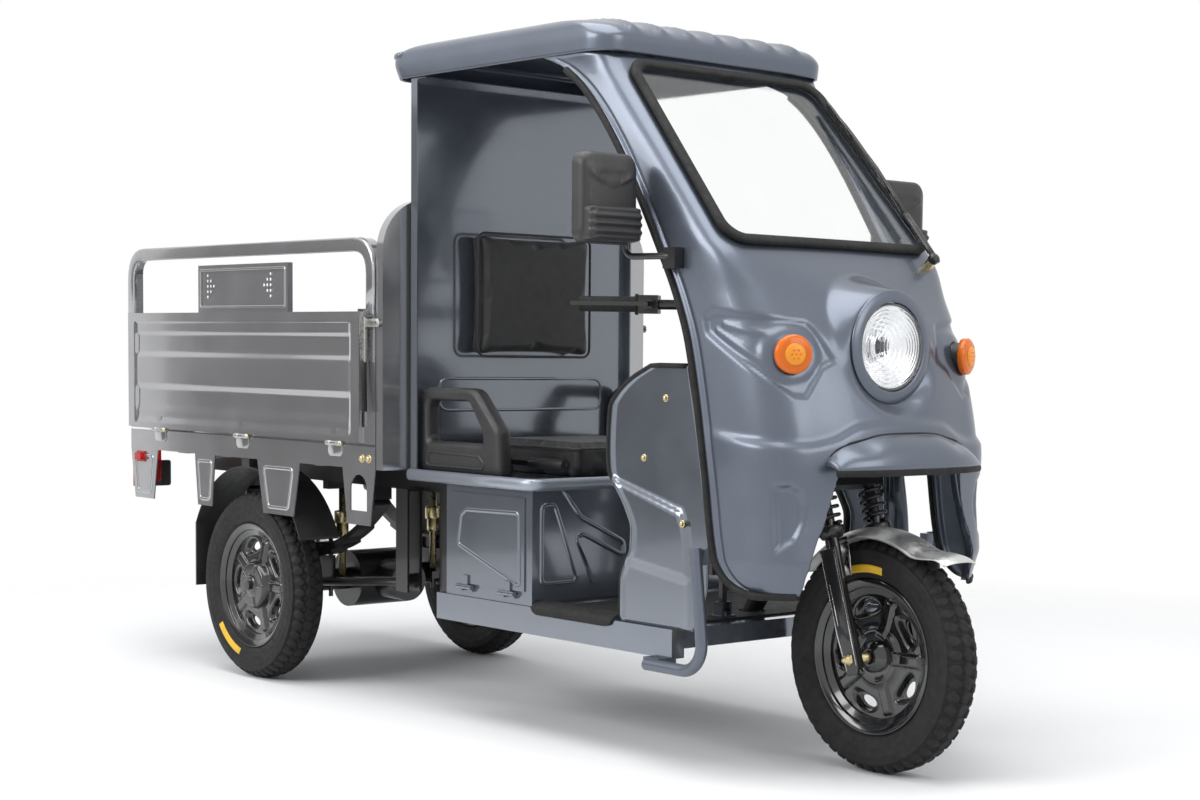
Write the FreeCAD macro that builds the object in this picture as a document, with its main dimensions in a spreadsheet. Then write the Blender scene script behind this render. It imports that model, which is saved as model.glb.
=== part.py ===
import FreeCAD, Part
import os
import re
import Sketcher
from math import acos, cos, pi, radians, sin, sqrt, tan
from FreeCAD import Placement, Rotation, Vector

# Electric cargo tricycle with a half-open cab, in millimetres.
# +X points forward, +Y to the driver's left, +Z up, and the wheels stand on Z = 0.

SIZES = {
    # Wheels
    "wheelbase": 1960, "track": 712, "tyre_radius": 250, "tyre_width": 92, "tyre_wall": 11,
    "rim_radius": 168, "bead_radius": 153, "well_radius": 136, "rim_width": 72, "rim_wall": 4,
    "disc_offset": 14, "rim_hole_radius": 20, "rim_hole_circle": 96, "hub_radius": 34, "hub_width": 74,
    "drum_radius": 68, "drum_width": 40, "spindle_radius": 12, "bead_gap": 0.3,
    "running_gap": 0.05, "moving_gap": 1, "pin_radius": 4,
    # Load bed
    "bed_overhang": 645, "bed_length": 1280, "bed_half": 411, "bed_height": 650, "sill_height": 56,
    "sill_width": 40, "sheet": 3, "bearer_width": 50, "gate_thick": 25, "gate_gap": 3, "gate_height": 507,
    "gate_panel": 326, "gate_tube": 30, "gate_corner": 70, "gate_rib": 5, "plaque_length": 470,
    "plaque_height": 128, "headboard_depth": 28, "headboard_height": 605, "headboard_corner": 130,
    "hinge_radius": 6, "hinge_width": 22, "hinge_plate": 36, "hinge_inset": 180, "peg_radius": 4,
    "latch_width": 18, "latch_length": 240, "latch_thick": 7, "latch_inset": 35, "skirt_height": 140,
    "lamp_depth": 20, "guard_radius": 305, "guard_width": 120, "guard_rise": 15, "flap_length": 175,
    # Chassis
    "rail_side": 200, "rail_width": 40, "rail_height": 60, "floor_rail_z": 240, "floor_rail_height": 50,
    "seat_box_back": 160, "down_tube_radius": 22, "tube_gap": 6, "head_radius": 27, "head_bore": 21,
    "head_low": 400,
    "head_length": 165, "rake": 18, "steerer_radius": 15,
    # Rear suspension
    "axle_tube_radius": 30, "motor_radius": 78, "motor_width": 190, "pivot_forward": 540, "pivot_z": 300,
    "rod_radius": 11, "rod_side": 250, "eye_radius": 19, "eye_width": 30, "rod_pin_radius": 8,
    "leaf_half": 330, "leaf_sag": 130, "leaf_thick": 7, "leaf_width": 50, "hanger_drop": 50,
    "shock_side": 148,
    "shock_forward": 62, "shock_radius": 17,
    # Front fork
    "leg_side": 72, "leg_radius": 20, "leg_top": 262, "stanchion_radius": 13, "yoke_low": 372,
    "yoke_thick": 22, "spring_wire": 4, "spring_radius": 21, "spring_turns": 8, "stem_top": 800,
    "stem_drop": 38,
    "fender_gap": 22, "fender_width": 98, "fender_sheet": 3, "fender_front": 46, "fender_sweep": 86,
    "front_axle_radius": 8,
    # Handlebar
    "bar_radius": 11, "bar_half": 70, "bar_sweep": 49, "bar_reach": 443, "grip_radius": 17,
    "grip_length": 125, "pod_length": 44, "pod_height": 40, "pod_depth": 46, "lever_offset": 62,
    "lever_thick": 9, "button_radius": 7, "button_travel": 3,
    # Cab
    "cab_half": 345, "panel": 3, "wall_gap": 10, "deck_z": 592, "deck_thick": 15, "seat_box_length": 500,
    "foot_z": 303, "floor_sheet": 3, "mat_thick": 4, "mat_margin": 40, "floor_front_back": 285,
    "sill_beam_width": 35, "dash_top": 863, "shield_back": 495, "shield_top": 863,
    "chin_z": 395, "cheek_z": 470, "brow_z": 655, "nose_z": 908, "shoulder_z": 1010,
    "foot_of_screen_z": 1116,
    "top_of_screen_z": 1544, "chin_front": 45, "brow_front": 65, "nose_front": 10, "shoulder_back": 60,
    "foot_of_screen_back": 158, "top_of_screen_back": 551, "arch_half": 205, "screen_half_low": 317,
    "screen_half_top": 290, "seal_width": 24, "header_height": 24, "seal_thick": 12, "glass_thick": 5,
    "screen_margin": 0.3,
    "roof_height": 94, "roof_overhang": 105, "lip_radius": 9, "roof_flange": 45, "visor_half": 218,
    "visor_front": 118, "visor_rise": 100, "strip_height": 13, "strip_thick": 8, "trim_width": 9,
    "headlight_radius": 93, "headlight_depth": 85, "lens_dome": 16, "lens_wall": 4, "turn_radius": 39,
    "turn_depth": 26, "turn_side": 255, "turn_angle": 22, "crash_radius": 13, "crash_side": 352,
    # Seat and controls in the cab
    "seat_half": 185, "seat_back_gap": 85, "seat_length": 380, "seat_thick": 82, "seat_crown": 14,
    "back_low": 864, "back_height": 324, "back_thick": 66, "arm_side": 298, "arm_thick": 42,
    "arm_gap": 8, "arm_length": 335, "arm_height": 205, "arm_bar": 32, "park_side": 222, "park_length": 235,
    "pedal_side": 130, "pedal_length": 130, "door_margin": 26, "battery_length": 150, "battery_height": 190,
    # Mirrors and wiper
    "mirror_half": 522, "mirror_width": 150, "mirror_height": 190, "mirror_depth": 46, "mirror_top": 1305,
    "mirror_back": 417, "mirror_arm_radius": 7, "mirror_post": 20, "wiper_length": 520, "wiper_side": 272,
    "wiper_lift": 16, "wiper_width": 12, "barrel_radius": 11,
}

# Places worked out from the sizes
DERIVED = {
    "tail_reach": "bed_overhang + lamp_depth",
    "rear_axle_x": "(tail_reach - wheelbase - tyre_radius)/2",
    "front_axle_x": "rear_axle_x + wheelbase",
    "bed_rear_x": "rear_axle_x - bed_overhang",
    "bed_front_x": "bed_rear_x + bed_length",
    "sill_low": "bed_height - sill_height - 2",
    "sill_top": "bed_height - 2",
    "gate_low": "bed_height + gate_gap",
    "gate_top": "gate_low + gate_height",
    "hinge_out": "bed_half + hinge_radius + 0.5",
    "rail_top": "sill_low - 2",
    "rail_low": "rail_top - rail_height",
    "head_x": "bed_front_x + 4",
    "wall_x": "head_x + headboard_depth + wall_gap",
    "seat_front_x": "wall_x + seat_box_length",
    "drop_x": "wall_x - 4",
    "box_rear": "wall_x + seat_box_back",
    "floor_front_x": "front_axle_x - floor_front_back",
    "floor_rail_top": "floor_rail_z + floor_rail_height",
    "dash_x": "floor_front_x - 8",
    "pivot_x": "rear_axle_x + pivot_forward",
    "leaf_eye_z": "rail_low - hanger_drop",
    "leaf_low_z": "leaf_eye_z - leaf_sag",
    "stem_x": "front_axle_x - stem_top*sin(rake)",
    "bar_z": "tyre_radius + stem_top*cos(rake) - bar_radius - 6",
    "screen_slope": "(top_of_screen_back - foot_of_screen_back)/(top_of_screen_z - foot_of_screen_z)",
    "screen_tilt": "atan(screen_slope)",
    "screen_length": "(top_of_screen_z - foot_of_screen_z)/cos(screen_tilt)",
    "roof_z": "top_of_screen_z + bead_gap",
    "roof_front_x": "front_axle_x - top_of_screen_back + 14",
    "roof_rear_x": "wall_x - roof_overhang",
    "arm_x": "wall_x + arm_gap",
    "visor_low": "brow_z",
    "mirror_x": "front_axle_x - mirror_back",
    "lamp_bore": "turn_radius - 8",
    "shield_out": "cab_half - 11",
}

SIDES = (-1, 1)
UP = Rotation()
ALONG_X = Rotation(Vector(0, 1, 0), 90)
ALONG_Y = Rotation(Vector(1, 0, 0), -90)
TURNS = {"X": ALONG_X, "Y": ALONG_Y, "Z": UP}

doc = FreeCAD.newDocument("CargoTricycle")
sheet = doc.addObject("Spreadsheet::Sheet", "Sizes")
for row, (alias, number) in enumerate(SIZES.items(), 1):
    sheet.set(f"A{row}", alias)
    sheet.set(f"B{row}", str(number))
    sheet.setAlias(f"B{row}", alias)
doc.recompute()

NODES = []


def link(text):
    """The expression for a formula in the names of sizes and places."""
    def swap(match):
        name = match.group(0)
        if name in DERIVED:
            return "(" + link(DERIVED[name]) + ")"
        return f"Sizes.{name}" if name in SIZES else name
    return re.sub(r"[A-Za-z_]\w*", swap, str(text))


def value(text):
    """A formula's number in millimetres or degrees."""
    result = sheet.evalExpression(link(text))
    return float(getattr(result, "Value", result))


def bind(item, expressions):
    for path, text in expressions.items():
        item.setExpression(path, link(text))
    return item


def place(item, x, y, z, rotation=UP):
    item.Placement = Placement(Vector(), rotation)
    return bind(item, {"Placement.Base.x": x, "Placement.Base.y": y, "Placement.Base.z": z})


def node(name, item):
    item.Label = name
    NODES.append(item)
    return item


def box(x0, x1, y0, y1, z0, z1):
    item = doc.addObject("Part::Box", "Block")
    bind(item, {"Length": f"({x1}) - ({x0})", "Width": f"({y1}) - ({y0})", "Height": f"({z1}) - ({z0})"})
    return place(item, x0, y0, z0)


def rod(axis, radius, across, start, stop):
    """A round bar along X, Y or Z between two places, at the other two coordinates."""
    item = doc.addObject("Part::Cylinder", "Round")
    bind(item, {"Radius": radius, "Height": f"({stop}) - ({start})"})
    places = list(across)
    places.insert("XYZ".index(axis), start)
    return place(item, *places, TURNS[axis])


def fuse(*items):
    item = doc.addObject("Part::MultiFuse", "Joined")
    item.Shapes = list(items)
    return item


def group(*items):
    item = doc.addObject("Part::Compound", "Group")
    item.Links = list(items)
    return item


def cut(base, *tools):
    item = doc.addObject("Part::Cut", "Trimmed")
    item.Base = base
    item.Tool = tools[0] if len(tools) == 1 else fuse(*tools)
    return item


def common(base, tool):
    item = doc.addObject("Part::Common", "Shared")
    item.Base = base
    item.Tool = tool
    return item


def mirror(source):
    """The same piece on the other side of the middle plane."""
    item = doc.addObject("Part::Mirroring", "Mirrored")
    item.Source = source
    item.Normal = Vector(0, 1, 0)
    return item


def pair(source):
    return group(source, mirror(source))


def rounded(item, radius, chosen):
    """Round the straight edges that pass a test on their two ends."""
    doc.recompute()
    result = doc.addObject("Part::Fillet", "Rounded")
    result.Base = item
    size = value(radius)
    edges = []
    for index, edge in enumerate(item.Shape.Edges, 1):
        first, last = (vertex.Point for vertex in edge.Vertexes)
        if chosen(first, last):
            edges.append((index, size, size))
    result.Edges = edges
    return result


def along(axis):
    """A test for edges that run along one axis."""
    return lambda first, last: abs(abs((last - first).normalize()["XYZ".index(axis)]) - 1) < 1e-6


def sketch_body(role, corners):
    """A body with a closed outline of straight lines, every corner bound to its formula."""
    body = doc.addObject("PartDesign::Body", "Body")
    outline = body.newObject("Sketcher::SketchObject", "Outline")
    plane = next(item for item in body.Origin.OriginFeatures if item.Role == role)
    outline.AttachmentSupport = [(plane, "")]
    outline.MapMode = "FlatFace"
    points = [Vector(value(a), value(b), 0) for a, b in corners]
    count = len(points)
    for index in range(count):
        outline.addGeometry(Part.LineSegment(points[index], points[(index + 1) % count]))
    for index in range(count):
        outline.addConstraint(Sketcher.Constraint("Coincident", index, 2, (index + 1) % count, 1))
    for index, (a, b) in enumerate(corners):
        for kind, text, number in (("DistanceX", a, points[index].x), ("DistanceY", b, points[index].y)):
            made = outline.addConstraint(Sketcher.Constraint(kind, -1, 1, index, 1, number))
            outline.setExpression(f"Constraints[{made}]", link(text))
    return body, outline


def plate(role, corners, thickness):
    """A flat piece of the outline's shape, its thickness shared to both sides of the plane."""
    body, outline = sketch_body(role, corners)
    pad = body.newObject("PartDesign::Pad", "Pad")
    pad.Profile = outline
    pad.SideType = "Symmetric"
    bind(pad, {"Length": thickness})
    return body


def turned(corners, angle=360):
    """A piece turned about the Y axis from an outline of radius and place along the axis."""
    body, outline = sketch_body("XY_Plane", corners)
    turn = body.newObject("PartDesign::Revolution", "Turn")
    turn.Profile = outline
    turn.ReferenceAxis = (outline, ["V_Axis"])
    bind(turn, {"Angle": angle})
    return body


def solid(shape):
    """A piece whose form only lofts or bent tubes can give."""
    item = doc.addObject("Part::Feature", "Form")
    item.Shape = shape
    return item


def in_fork(item, forward, side, up):
    """Set a piece in the leaning frame of the fork: its origin at the front axle, its Z along the steerer."""
    item.Placement = Placement(Vector(), Rotation(Vector(0, -1, 0), value("rake")))
    return bind(item, {
        "Placement.Rotation.Angle": "rake*1deg",
        "Placement.Base.x": f"front_axle_x + ({forward})*cos(rake) - ({up})*sin(rake)",
        "Placement.Base.y": side,
        "Placement.Base.z": f"tyre_radius + ({forward})*sin(rake) + ({up})*cos(rake)",
    })


def fork_box(x0, x1, y0, y1, z0, z1):
    return in_fork(box(x0, x1, y0, y1, z0, z1), x0, y0, z0)


def fork_rod(radius, side, start, stop):
    return in_fork(rod("Z", radius, ("0", "0"), start, stop), "0", side, start)


def fork_point(forward, side, up):
    lean = radians(value("rake"))
    return Vector(value("front_axle_x") + forward*cos(lean) - up*sin(lean), side,
                  value("tyre_radius") + forward*sin(lean) + up*cos(lean))


def bar_set(item, x, y, z):
    """Set a piece in the frame of the right bar end: X out along the bar from its bend, Y ahead, Z up."""
    item.Placement = Placement(Vector(), Rotation(Vector(0, 0, 1), 270 - value("bar_sweep")))
    return bind(item, {
        "Placement.Rotation.Angle": "(270 - bar_sweep)*1deg",
        "Placement.Base.x": f"stem_x - ({x})*sin(bar_sweep) + ({y})*cos(bar_sweep)",
        "Placement.Base.y": f"0 - bar_half - ({x})*cos(bar_sweep) - ({y})*sin(bar_sweep)",
        "Placement.Base.z": f"bar_z + ({z})",
    })


def bar_box(x0, x1, y0, y1, z0, z1):
    return bar_set(box(x0, x1, y0, y1, z0, z1), x0, y0, z0)


def bar_rod(radius, y, z, start, stop):
    item = rod("X", radius, ("0", "0"), start, stop)
    item.Placement = Placement(Vector(),
                               Rotation(Vector(0, 0, 1), 270 - value("bar_sweep")).multiply(ALONG_X))
    return bind(item, {
        "Placement.Base.x": f"stem_x - ({start})*sin(bar_sweep) + ({y})*cos(bar_sweep)",
        "Placement.Base.y": f"0 - bar_half - ({start})*cos(bar_sweep) - ({y})*sin(bar_sweep)",
        "Placement.Base.z": f"bar_z + ({z})",
    })


def bar_pin(radius, x, y, start, stop):
    return bar_set(rod("Z", radius, ("0", "0"), start, stop), x, y, start)


def bent_tube(points, radius, bend):
    """A round tube along straight runs joined by tangent arcs."""
    edges = []
    last = points[0]
    for before, corner, after in zip(points, points[1:], points[2:]):
        back = (before - corner).normalize()
        ahead = (after - corner).normalize()
        half_turn = (pi - acos(max(-1, min(1, back.dot(ahead)))))/2
        reach = bend*tan(half_turn)
        first = corner + back*reach
        final = corner + ahead*reach
        middle = (back + ahead).normalize()
        crest = corner + middle*(bend/cos(half_turn) - bend)
        edges.append(Part.LineSegment(last, first).toShape())
        edges.append(Part.Arc(first, crest, final).toShape())
        last = final
    edges.append(Part.LineSegment(last, points[-1]).toShape())
    start = Part.Circle(points[0], points[1] - points[0], radius).toShape()
    return Part.Wire(edges).makePipeShell([Part.Wire([start])], True, False)


def arc_from(start, handle, end):
    """The circular arc from one point to another whose tangents meet at the handle."""
    chord_middle = (start + end)*0.5
    half_chord = (end - start).Length/2
    lean = acos(min(1, half_chord/(handle - start).Length))
    crest = chord_middle + (handle - chord_middle).normalize()*(half_chord*tan(lean/2))
    return Part.Arc(start, crest, end).toShape()


def coil(radius, wire, length, turns):
    """One unbroken helical wire about Z, as biarcs of a quarter turn, and its least gap to itself."""
    rise = length/turns
    climb = sqrt((2*pi*radius)**2 + rise**2)

    def station(turn):
        angle = 2*pi*turn
        point = Vector(radius*cos(angle), radius*sin(angle), rise*turn)
        way = Vector(-2*pi*radius*sin(angle), 2*pi*radius*cos(angle), rise)*(1/climb)
        return point, way

    edges = []
    quarters = round(turns*4)
    for index in range(quarters):
        start, leaving = station(index/4)
        end, arriving = station((index + 1)/4)
        span = end - start
        both = leaving + arriving
        spread = 2*(1 - leaving.dot(arriving))
        reach = (sqrt(span.dot(both)**2 + spread*span.dot(span)) - span.dot(both))/spread
        first = start + leaving*reach
        final = end - arriving*reach
        joint = (first + final)*0.5
        edges.append(arc_from(start, first, joint))
        edges.append(arc_from(joint, final, end))
    point, way = station(0)
    ring = Part.Wire([Part.Circle(point, way, wire).toShape()])
    shape = Part.Wire(edges).makePipeShell([ring], True, False)
    points = [station(index/40)[0] for index in range(round(turns*40) + 1)]
    least = min((points[later] - points[sooner]).Length
                for sooner in range(len(points)) for later in range(sooner + 20, len(points)))
    print(f"coil's least gap to itself {least - 2*wire:.2f} mm")
    return shape


def rounded_ring(level, x0, x1, y0, y1, radius):
    """A rectangle with round corners at one height."""
    slant = radius*(1 - sqrt(0.5))
    sides = [
        (Vector(x0 + radius, y0, level), Vector(x1 - radius, y0, level),
         Vector(x1 - slant, y0 + slant, level)),
        (Vector(x1, y0 + radius, level), Vector(x1, y1 - radius, level),
         Vector(x1 - slant, y1 - slant, level)),
        (Vector(x1 - radius, y1, level), Vector(x0 + radius, y1, level),
         Vector(x0 + slant, y1 - slant, level)),
        (Vector(x0, y1 - radius, level), Vector(x0, y0 + radius, level),
         Vector(x0 + slant, y0 + slant, level)),
    ]
    edges = []
    for index, (start, end, crest) in enumerate(sides):
        edges.append(Part.LineSegment(start, end).toShape())
        edges.append(Part.Arc(end, crest, sides[(index + 1) % 4][0]).toShape())
    return Part.Wire(edges)


def stack(levels):
    """A solid through round-cornered rectangles one above the other."""
    return Part.makeLoft([rounded_ring(*level) for level in levels], True, True)


def shell_ring(section, inset, back):
    """A horizontal section of the cab's front, drawn in by a wall and opened towards the back."""
    level, front, crown, corner, side, edge, edge_side = section
    front -= inset
    side -= inset
    edge_side -= inset
    edge -= back
    slant = corner*(1 - sqrt(0.5))
    shoulder = front - crown
    right = [Vector(edge, -edge_side, level), Vector(shoulder - corner, -side, level)]
    bend = Vector(shoulder - slant, -side + slant, level)
    tip = Vector(shoulder, -side + corner, level)
    nose = Vector(front, 0, level)

    def left(point):
        return Vector(point.x, -point.y, point.z)

    return Part.Wire([
        Part.LineSegment(right[0], right[1]).toShape(),
        Part.Arc(right[1], bend, tip).toShape(),
        Part.Arc(tip, nose, left(tip)).toShape(),
        Part.Arc(left(tip), left(bend), left(right[1])).toShape(),
        Part.LineSegment(left(right[1]), left(right[0])).toShape(),
        Part.LineSegment(left(right[0]), right[0]).toShape(),
    ])


def knuckles(axis, middle, across, leaves):
    """One barrel hinge: its fixed outer knuckles with the pin, and the bored knuckle that turns on it.

    leaves holds the corners of the fixed plate and of the turning plate across the axis.
    """
    half = "hinge_width/2"
    gap = "moving_gap"
    reach = f"(hinge_width*1.3 + {gap})"
    fixed = [rod(axis, "pin_radius*0.7", across, f"{middle} - {reach}", f"{middle} + {reach}")]
    for low, high in ((f"{middle} - {reach}", f"{middle} - {half} - {gap}"),
                      (f"{middle} + {half} + {gap}", f"{middle} + {reach}")):
        fixed.append(rod(axis, "hinge_radius", across, low, high))
        fixed.append(leaf(axis, low, high, leaves[0]))
    barrel = rod(axis, "hinge_radius", across, f"{middle} - {half}", f"{middle} + {half}")
    wing = leaf(axis, f"{middle} - {half}", f"{middle} + {half}", leaves[1])
    bore = rod(axis, "pin_radius*0.7 + running_gap", across, f"{middle} - {reach}", f"{middle} + {reach}")
    return fuse(*fixed), cut(fuse(barrel, wing), bore)


def leaf(axis, low, high, corners):
    if axis == "X":
        return box(low, high, *corners)
    return box(corners[0], corners[1], low, high, corners[2], corners[3])


# Rear wheels and the front wheel: pressed rims and hollow tyres turned about Y
def rim(holes, drum):
    wall = "rim_wall"
    half = "rim_width/2"
    outline = [
        ("spindle_radius + running_gap", "0 - hub_width/2"), ("hub_radius", "0 - hub_width/2"),
        ("hub_radius", f"0 - disc_offset - {wall}"), (f"well_radius - {wall}", f"0 - disc_offset - {wall}"),
        (f"well_radius - {wall}", f"0 - {half}*0.45 - {wall}"),
        (f"bead_radius - {wall}", f"0 - {half}*0.6 - {wall}"),
        (f"bead_radius - {wall}", f"0 - {half} + {wall}"), ("rim_radius - 3", f"0 - {half} - 2"),
        ("rim_radius", f"0 - {half} + 1"), ("bead_radius + 4", f"0 - {half} + {wall}*1.6"),
        ("bead_radius", f"0 - {half} + {wall}*2.4"), ("bead_radius", f"0 - {half}*0.6"),
        ("well_radius", f"0 - {half}*0.45"),
        ("well_radius", f"{half}*0.45"), ("bead_radius", f"{half}*0.6"),
        ("bead_radius", f"{half} - {wall}*2.4"),
        ("bead_radius + 4", f"{half} - {wall}*1.6"), ("rim_radius", f"{half} - 1"),
        ("rim_radius - 3", f"{half} + 2"),
        (f"bead_radius - {wall}", f"{half} - {wall}"), (f"bead_radius - {wall}", f"{half}*0.6 + {wall}"),
        (f"well_radius - {wall}", f"{half}*0.45 + {wall}"), (f"well_radius - {wall}", "0 - disc_offset"),
        (drum, "0 - disc_offset"), (drum, "hub_width/2 - drum_width*0.2"),
        ("hub_radius", "hub_width/2 - drum_width*0.2"), ("hub_radius", "hub_width/2"),
        ("spindle_radius + running_gap", "hub_width/2"),
    ]
    body = turned(outline)
    tools = []
    for index in range(holes):
        angle = f"{360/holes}*{index}"
        place_of = (f"rim_hole_circle*cos({angle})", f"rim_hole_circle*sin({angle})")
        tools.append(rod("Y", "rim_hole_radius", place_of, "0 - rim_width", "rim_width"))
    return cut(body, *tools)


def tyre():
    half = "tyre_width/2"
    seat = "bead_radius + bead_gap"
    side = "(tyre_radius - rim_radius)"
    outer = [
        (seat, "rim_width/2 - rim_wall*2.5"), ("rim_radius + bead_gap", "rim_width/2 - rim_wall*1.2"),
        ("rim_radius + bead_gap", "rim_width/2 + 2"), (f"rim_radius + {side}*0.45", half),
        (f"tyre_radius - {side}*0.2", f"{half}*0.93"), (f"tyre_radius - {side}*0.05", f"{half}*0.74"),
        ("tyre_radius", f"{half}*0.4"),
    ]
    inner = [
        ("tyre_radius - tyre_wall", f"{half}*0.4"),
        (f"tyre_radius - {side}*0.2 - tyre_wall", f"{half}*0.93 - tyre_wall"),
        (f"rim_radius + {side}*0.3", f"{half} - tyre_wall"),
        (seat, "rim_width/2 - rim_wall*2.5 - tyre_wall*0.8"),
    ]

    def flip(corners):
        return [(radius, f"0 - ({across})") for radius, across in corners]

    return turned(outer + flip(outer[::-1]) + flip(inner[::-1]) + inner)


FLIP = Rotation(Vector(0, 0, 1), 180)
for name, side, turn in (("right", "0 - track/2", UP), ("left", "track/2", FLIP)):
    node(f"rear_rim_{name}", place(rim(10, "drum_radius"), "rear_axle_x", side, "tyre_radius", turn))
    node(f"rear_tyre_{name}", place(tyre(), "rear_axle_x", side, "tyre_radius", turn))
node("front_rim", place(rim(6, "hub_radius + 6"), "front_axle_x", "0", "tyre_radius"))
node("front_tyre", place(tyre(), "front_axle_x", "0", "tyre_radius"))

# Chassis: upper rails under the bed, drop posts, floor rails, cross members, down tube and head tube
frame = []
for side in SIDES:
    inner, outer = f"{side}*rail_side - rail_width/2", f"{side}*rail_side + rail_width/2"
    frame.append(box("bed_rear_x + 30", "drop_x", inner, outer, "rail_low", "rail_top"))
    frame.append(box("drop_x - rail_width", "drop_x", inner, outer, "floor_rail_z", "rail_top"))
    frame.append(box("drop_x - rail_width", "floor_front_x - 130", inner, outer, "floor_rail_z",
                     "floor_rail_top"))
    for end in SIDES:
        eye = f"rear_axle_x + {end}*leaf_half"
        frame.append(box(f"{eye} - 16", f"{eye} + 16", f"{side}*rail_side - leaf_width/2",
                         f"{side}*rail_side + leaf_width/2", "leaf_eye_z + 14", "rail_low"))
    shock = (f"{side}*shock_side - 14", f"{side}*shock_side + 14")
    frame.append(box("rear_axle_x + shock_forward - 14", "rear_axle_x + shock_forward + 14",
                     shock[0] if side > 0 else "0 - rail_side", "rail_side" if side > 0 else shock[1],
                     "rail_low - 24", "rail_low + 10"))
    for cheek in SIDES:
        middle = f"{side}*rod_side + {cheek}*(eye_width/2 + moving_gap + 3)"
        frame.append(box("pivot_x - 26", "pivot_x + 26", f"{middle} - 3", f"{middle} + 3", "pivot_z - 26",
                         "rail_low + 6"))
    frame.append(rod("Y", "rod_pin_radius", ("pivot_x", "pivot_z"),
                     f"{side}*rod_side - eye_width/2 - moving_gap - 3",
                     f"{side}*rod_side + eye_width/2 + moving_gap + 3"))
    reach = ("rail_side", "rod_side + eye_width/2 + moving_gap + 6")
    low, high = reach if side > 0 else (f"0 - ({reach[1]})", "0 - rail_side")
    frame.append(box("pivot_x - 26", "pivot_x + 26", low, high, "rail_low", "rail_low + 6"))
for spot in ("bed_rear_x + 60", "rear_axle_x - 120", "rear_axle_x + 330", "drop_x - rail_width"):
    frame.append(box(spot, f"{spot} + rail_width", "0 - rail_side", "rail_side", "rail_low + 8",
                     "rail_top - 8"))
beam_half = "cab_half - sill_beam_width - 1"
for spot in ("box_rear - 30", "seat_front_x - 20", "floor_front_x - 170"):
    frame.append(box(spot, f"{spot} + rail_width", f"0 - ({beam_half})", beam_half, "floor_rail_z",
                     "floor_rail_top"))
tube_start = Vector(value("floor_front_x - 150"), 0, value("floor_rail_z + floor_rail_height/2"))
tube_end = fork_point(0, 0, value("head_low + head_length*0.4"))
down_tube = Part.makeCylinder(value("down_tube_radius"), (tube_end - tube_start).Length, tube_start,
                              tube_end - tube_start)
tube_way = Part.makeCylinder(value("down_tube_radius + tube_gap"), 900, tube_start, tube_end - tube_start)
frame.append(solid(down_tube))
frame.append(fork_rod("head_radius", "0", "head_low", "head_low + head_length"))
head_bore = fork_rod("head_bore", "0", "head_low - 1", "head_low + head_length + 1")
node("chassis_frame", cut(fuse(*frame), head_bore))
bearings = []
for start in ("head_low + 1", "head_low + head_length - 21"):
    ring = fork_rod("head_bore - running_gap", "0", start, f"{start} + 20")
    bearings.append(cut(ring, fork_rod("steerer_radius + running_gap", "0", f"{start} - 1",
                                       f"{start} + 21")))
node("headset_bearings", group(*bearings))

# Leaf springs: four leaves on a common centre, hung under the rails
leaves = []
spring_radius = "((leaf_half*leaf_half + leaf_sag*leaf_sag)/(2*leaf_sag))"
centre_z = f"(leaf_low_z + {spring_radius})"
for side in SIDES:
    ends = (f"{side}*rail_side - leaf_width/2", f"{side}*rail_side + leaf_width/2")
    layers = []
    for layer in range(4):
        span = f"leaf_half*{1 - 0.2*layer}"
        big = rod("Y", f"{spring_radius} + leaf_thick*{layer + 1}", ("rear_axle_x", centre_z), *ends)
        small = rod("Y", f"{spring_radius} + leaf_thick*{layer}", ("rear_axle_x", centre_z), *ends)
        band = box(f"rear_axle_x - {span}", f"rear_axle_x + {span}", *ends, "0", "leaf_eye_z + leaf_thick")
        layers.append(common(cut(big, small), band))
    for end in SIDES:
        layers.append(rod("Y", "13", (f"rear_axle_x + {end}*leaf_half", "leaf_eye_z + 1"), *ends))
    leaves.append(fuse(*layers))
node("leaf_springs", group(*leaves))

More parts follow.
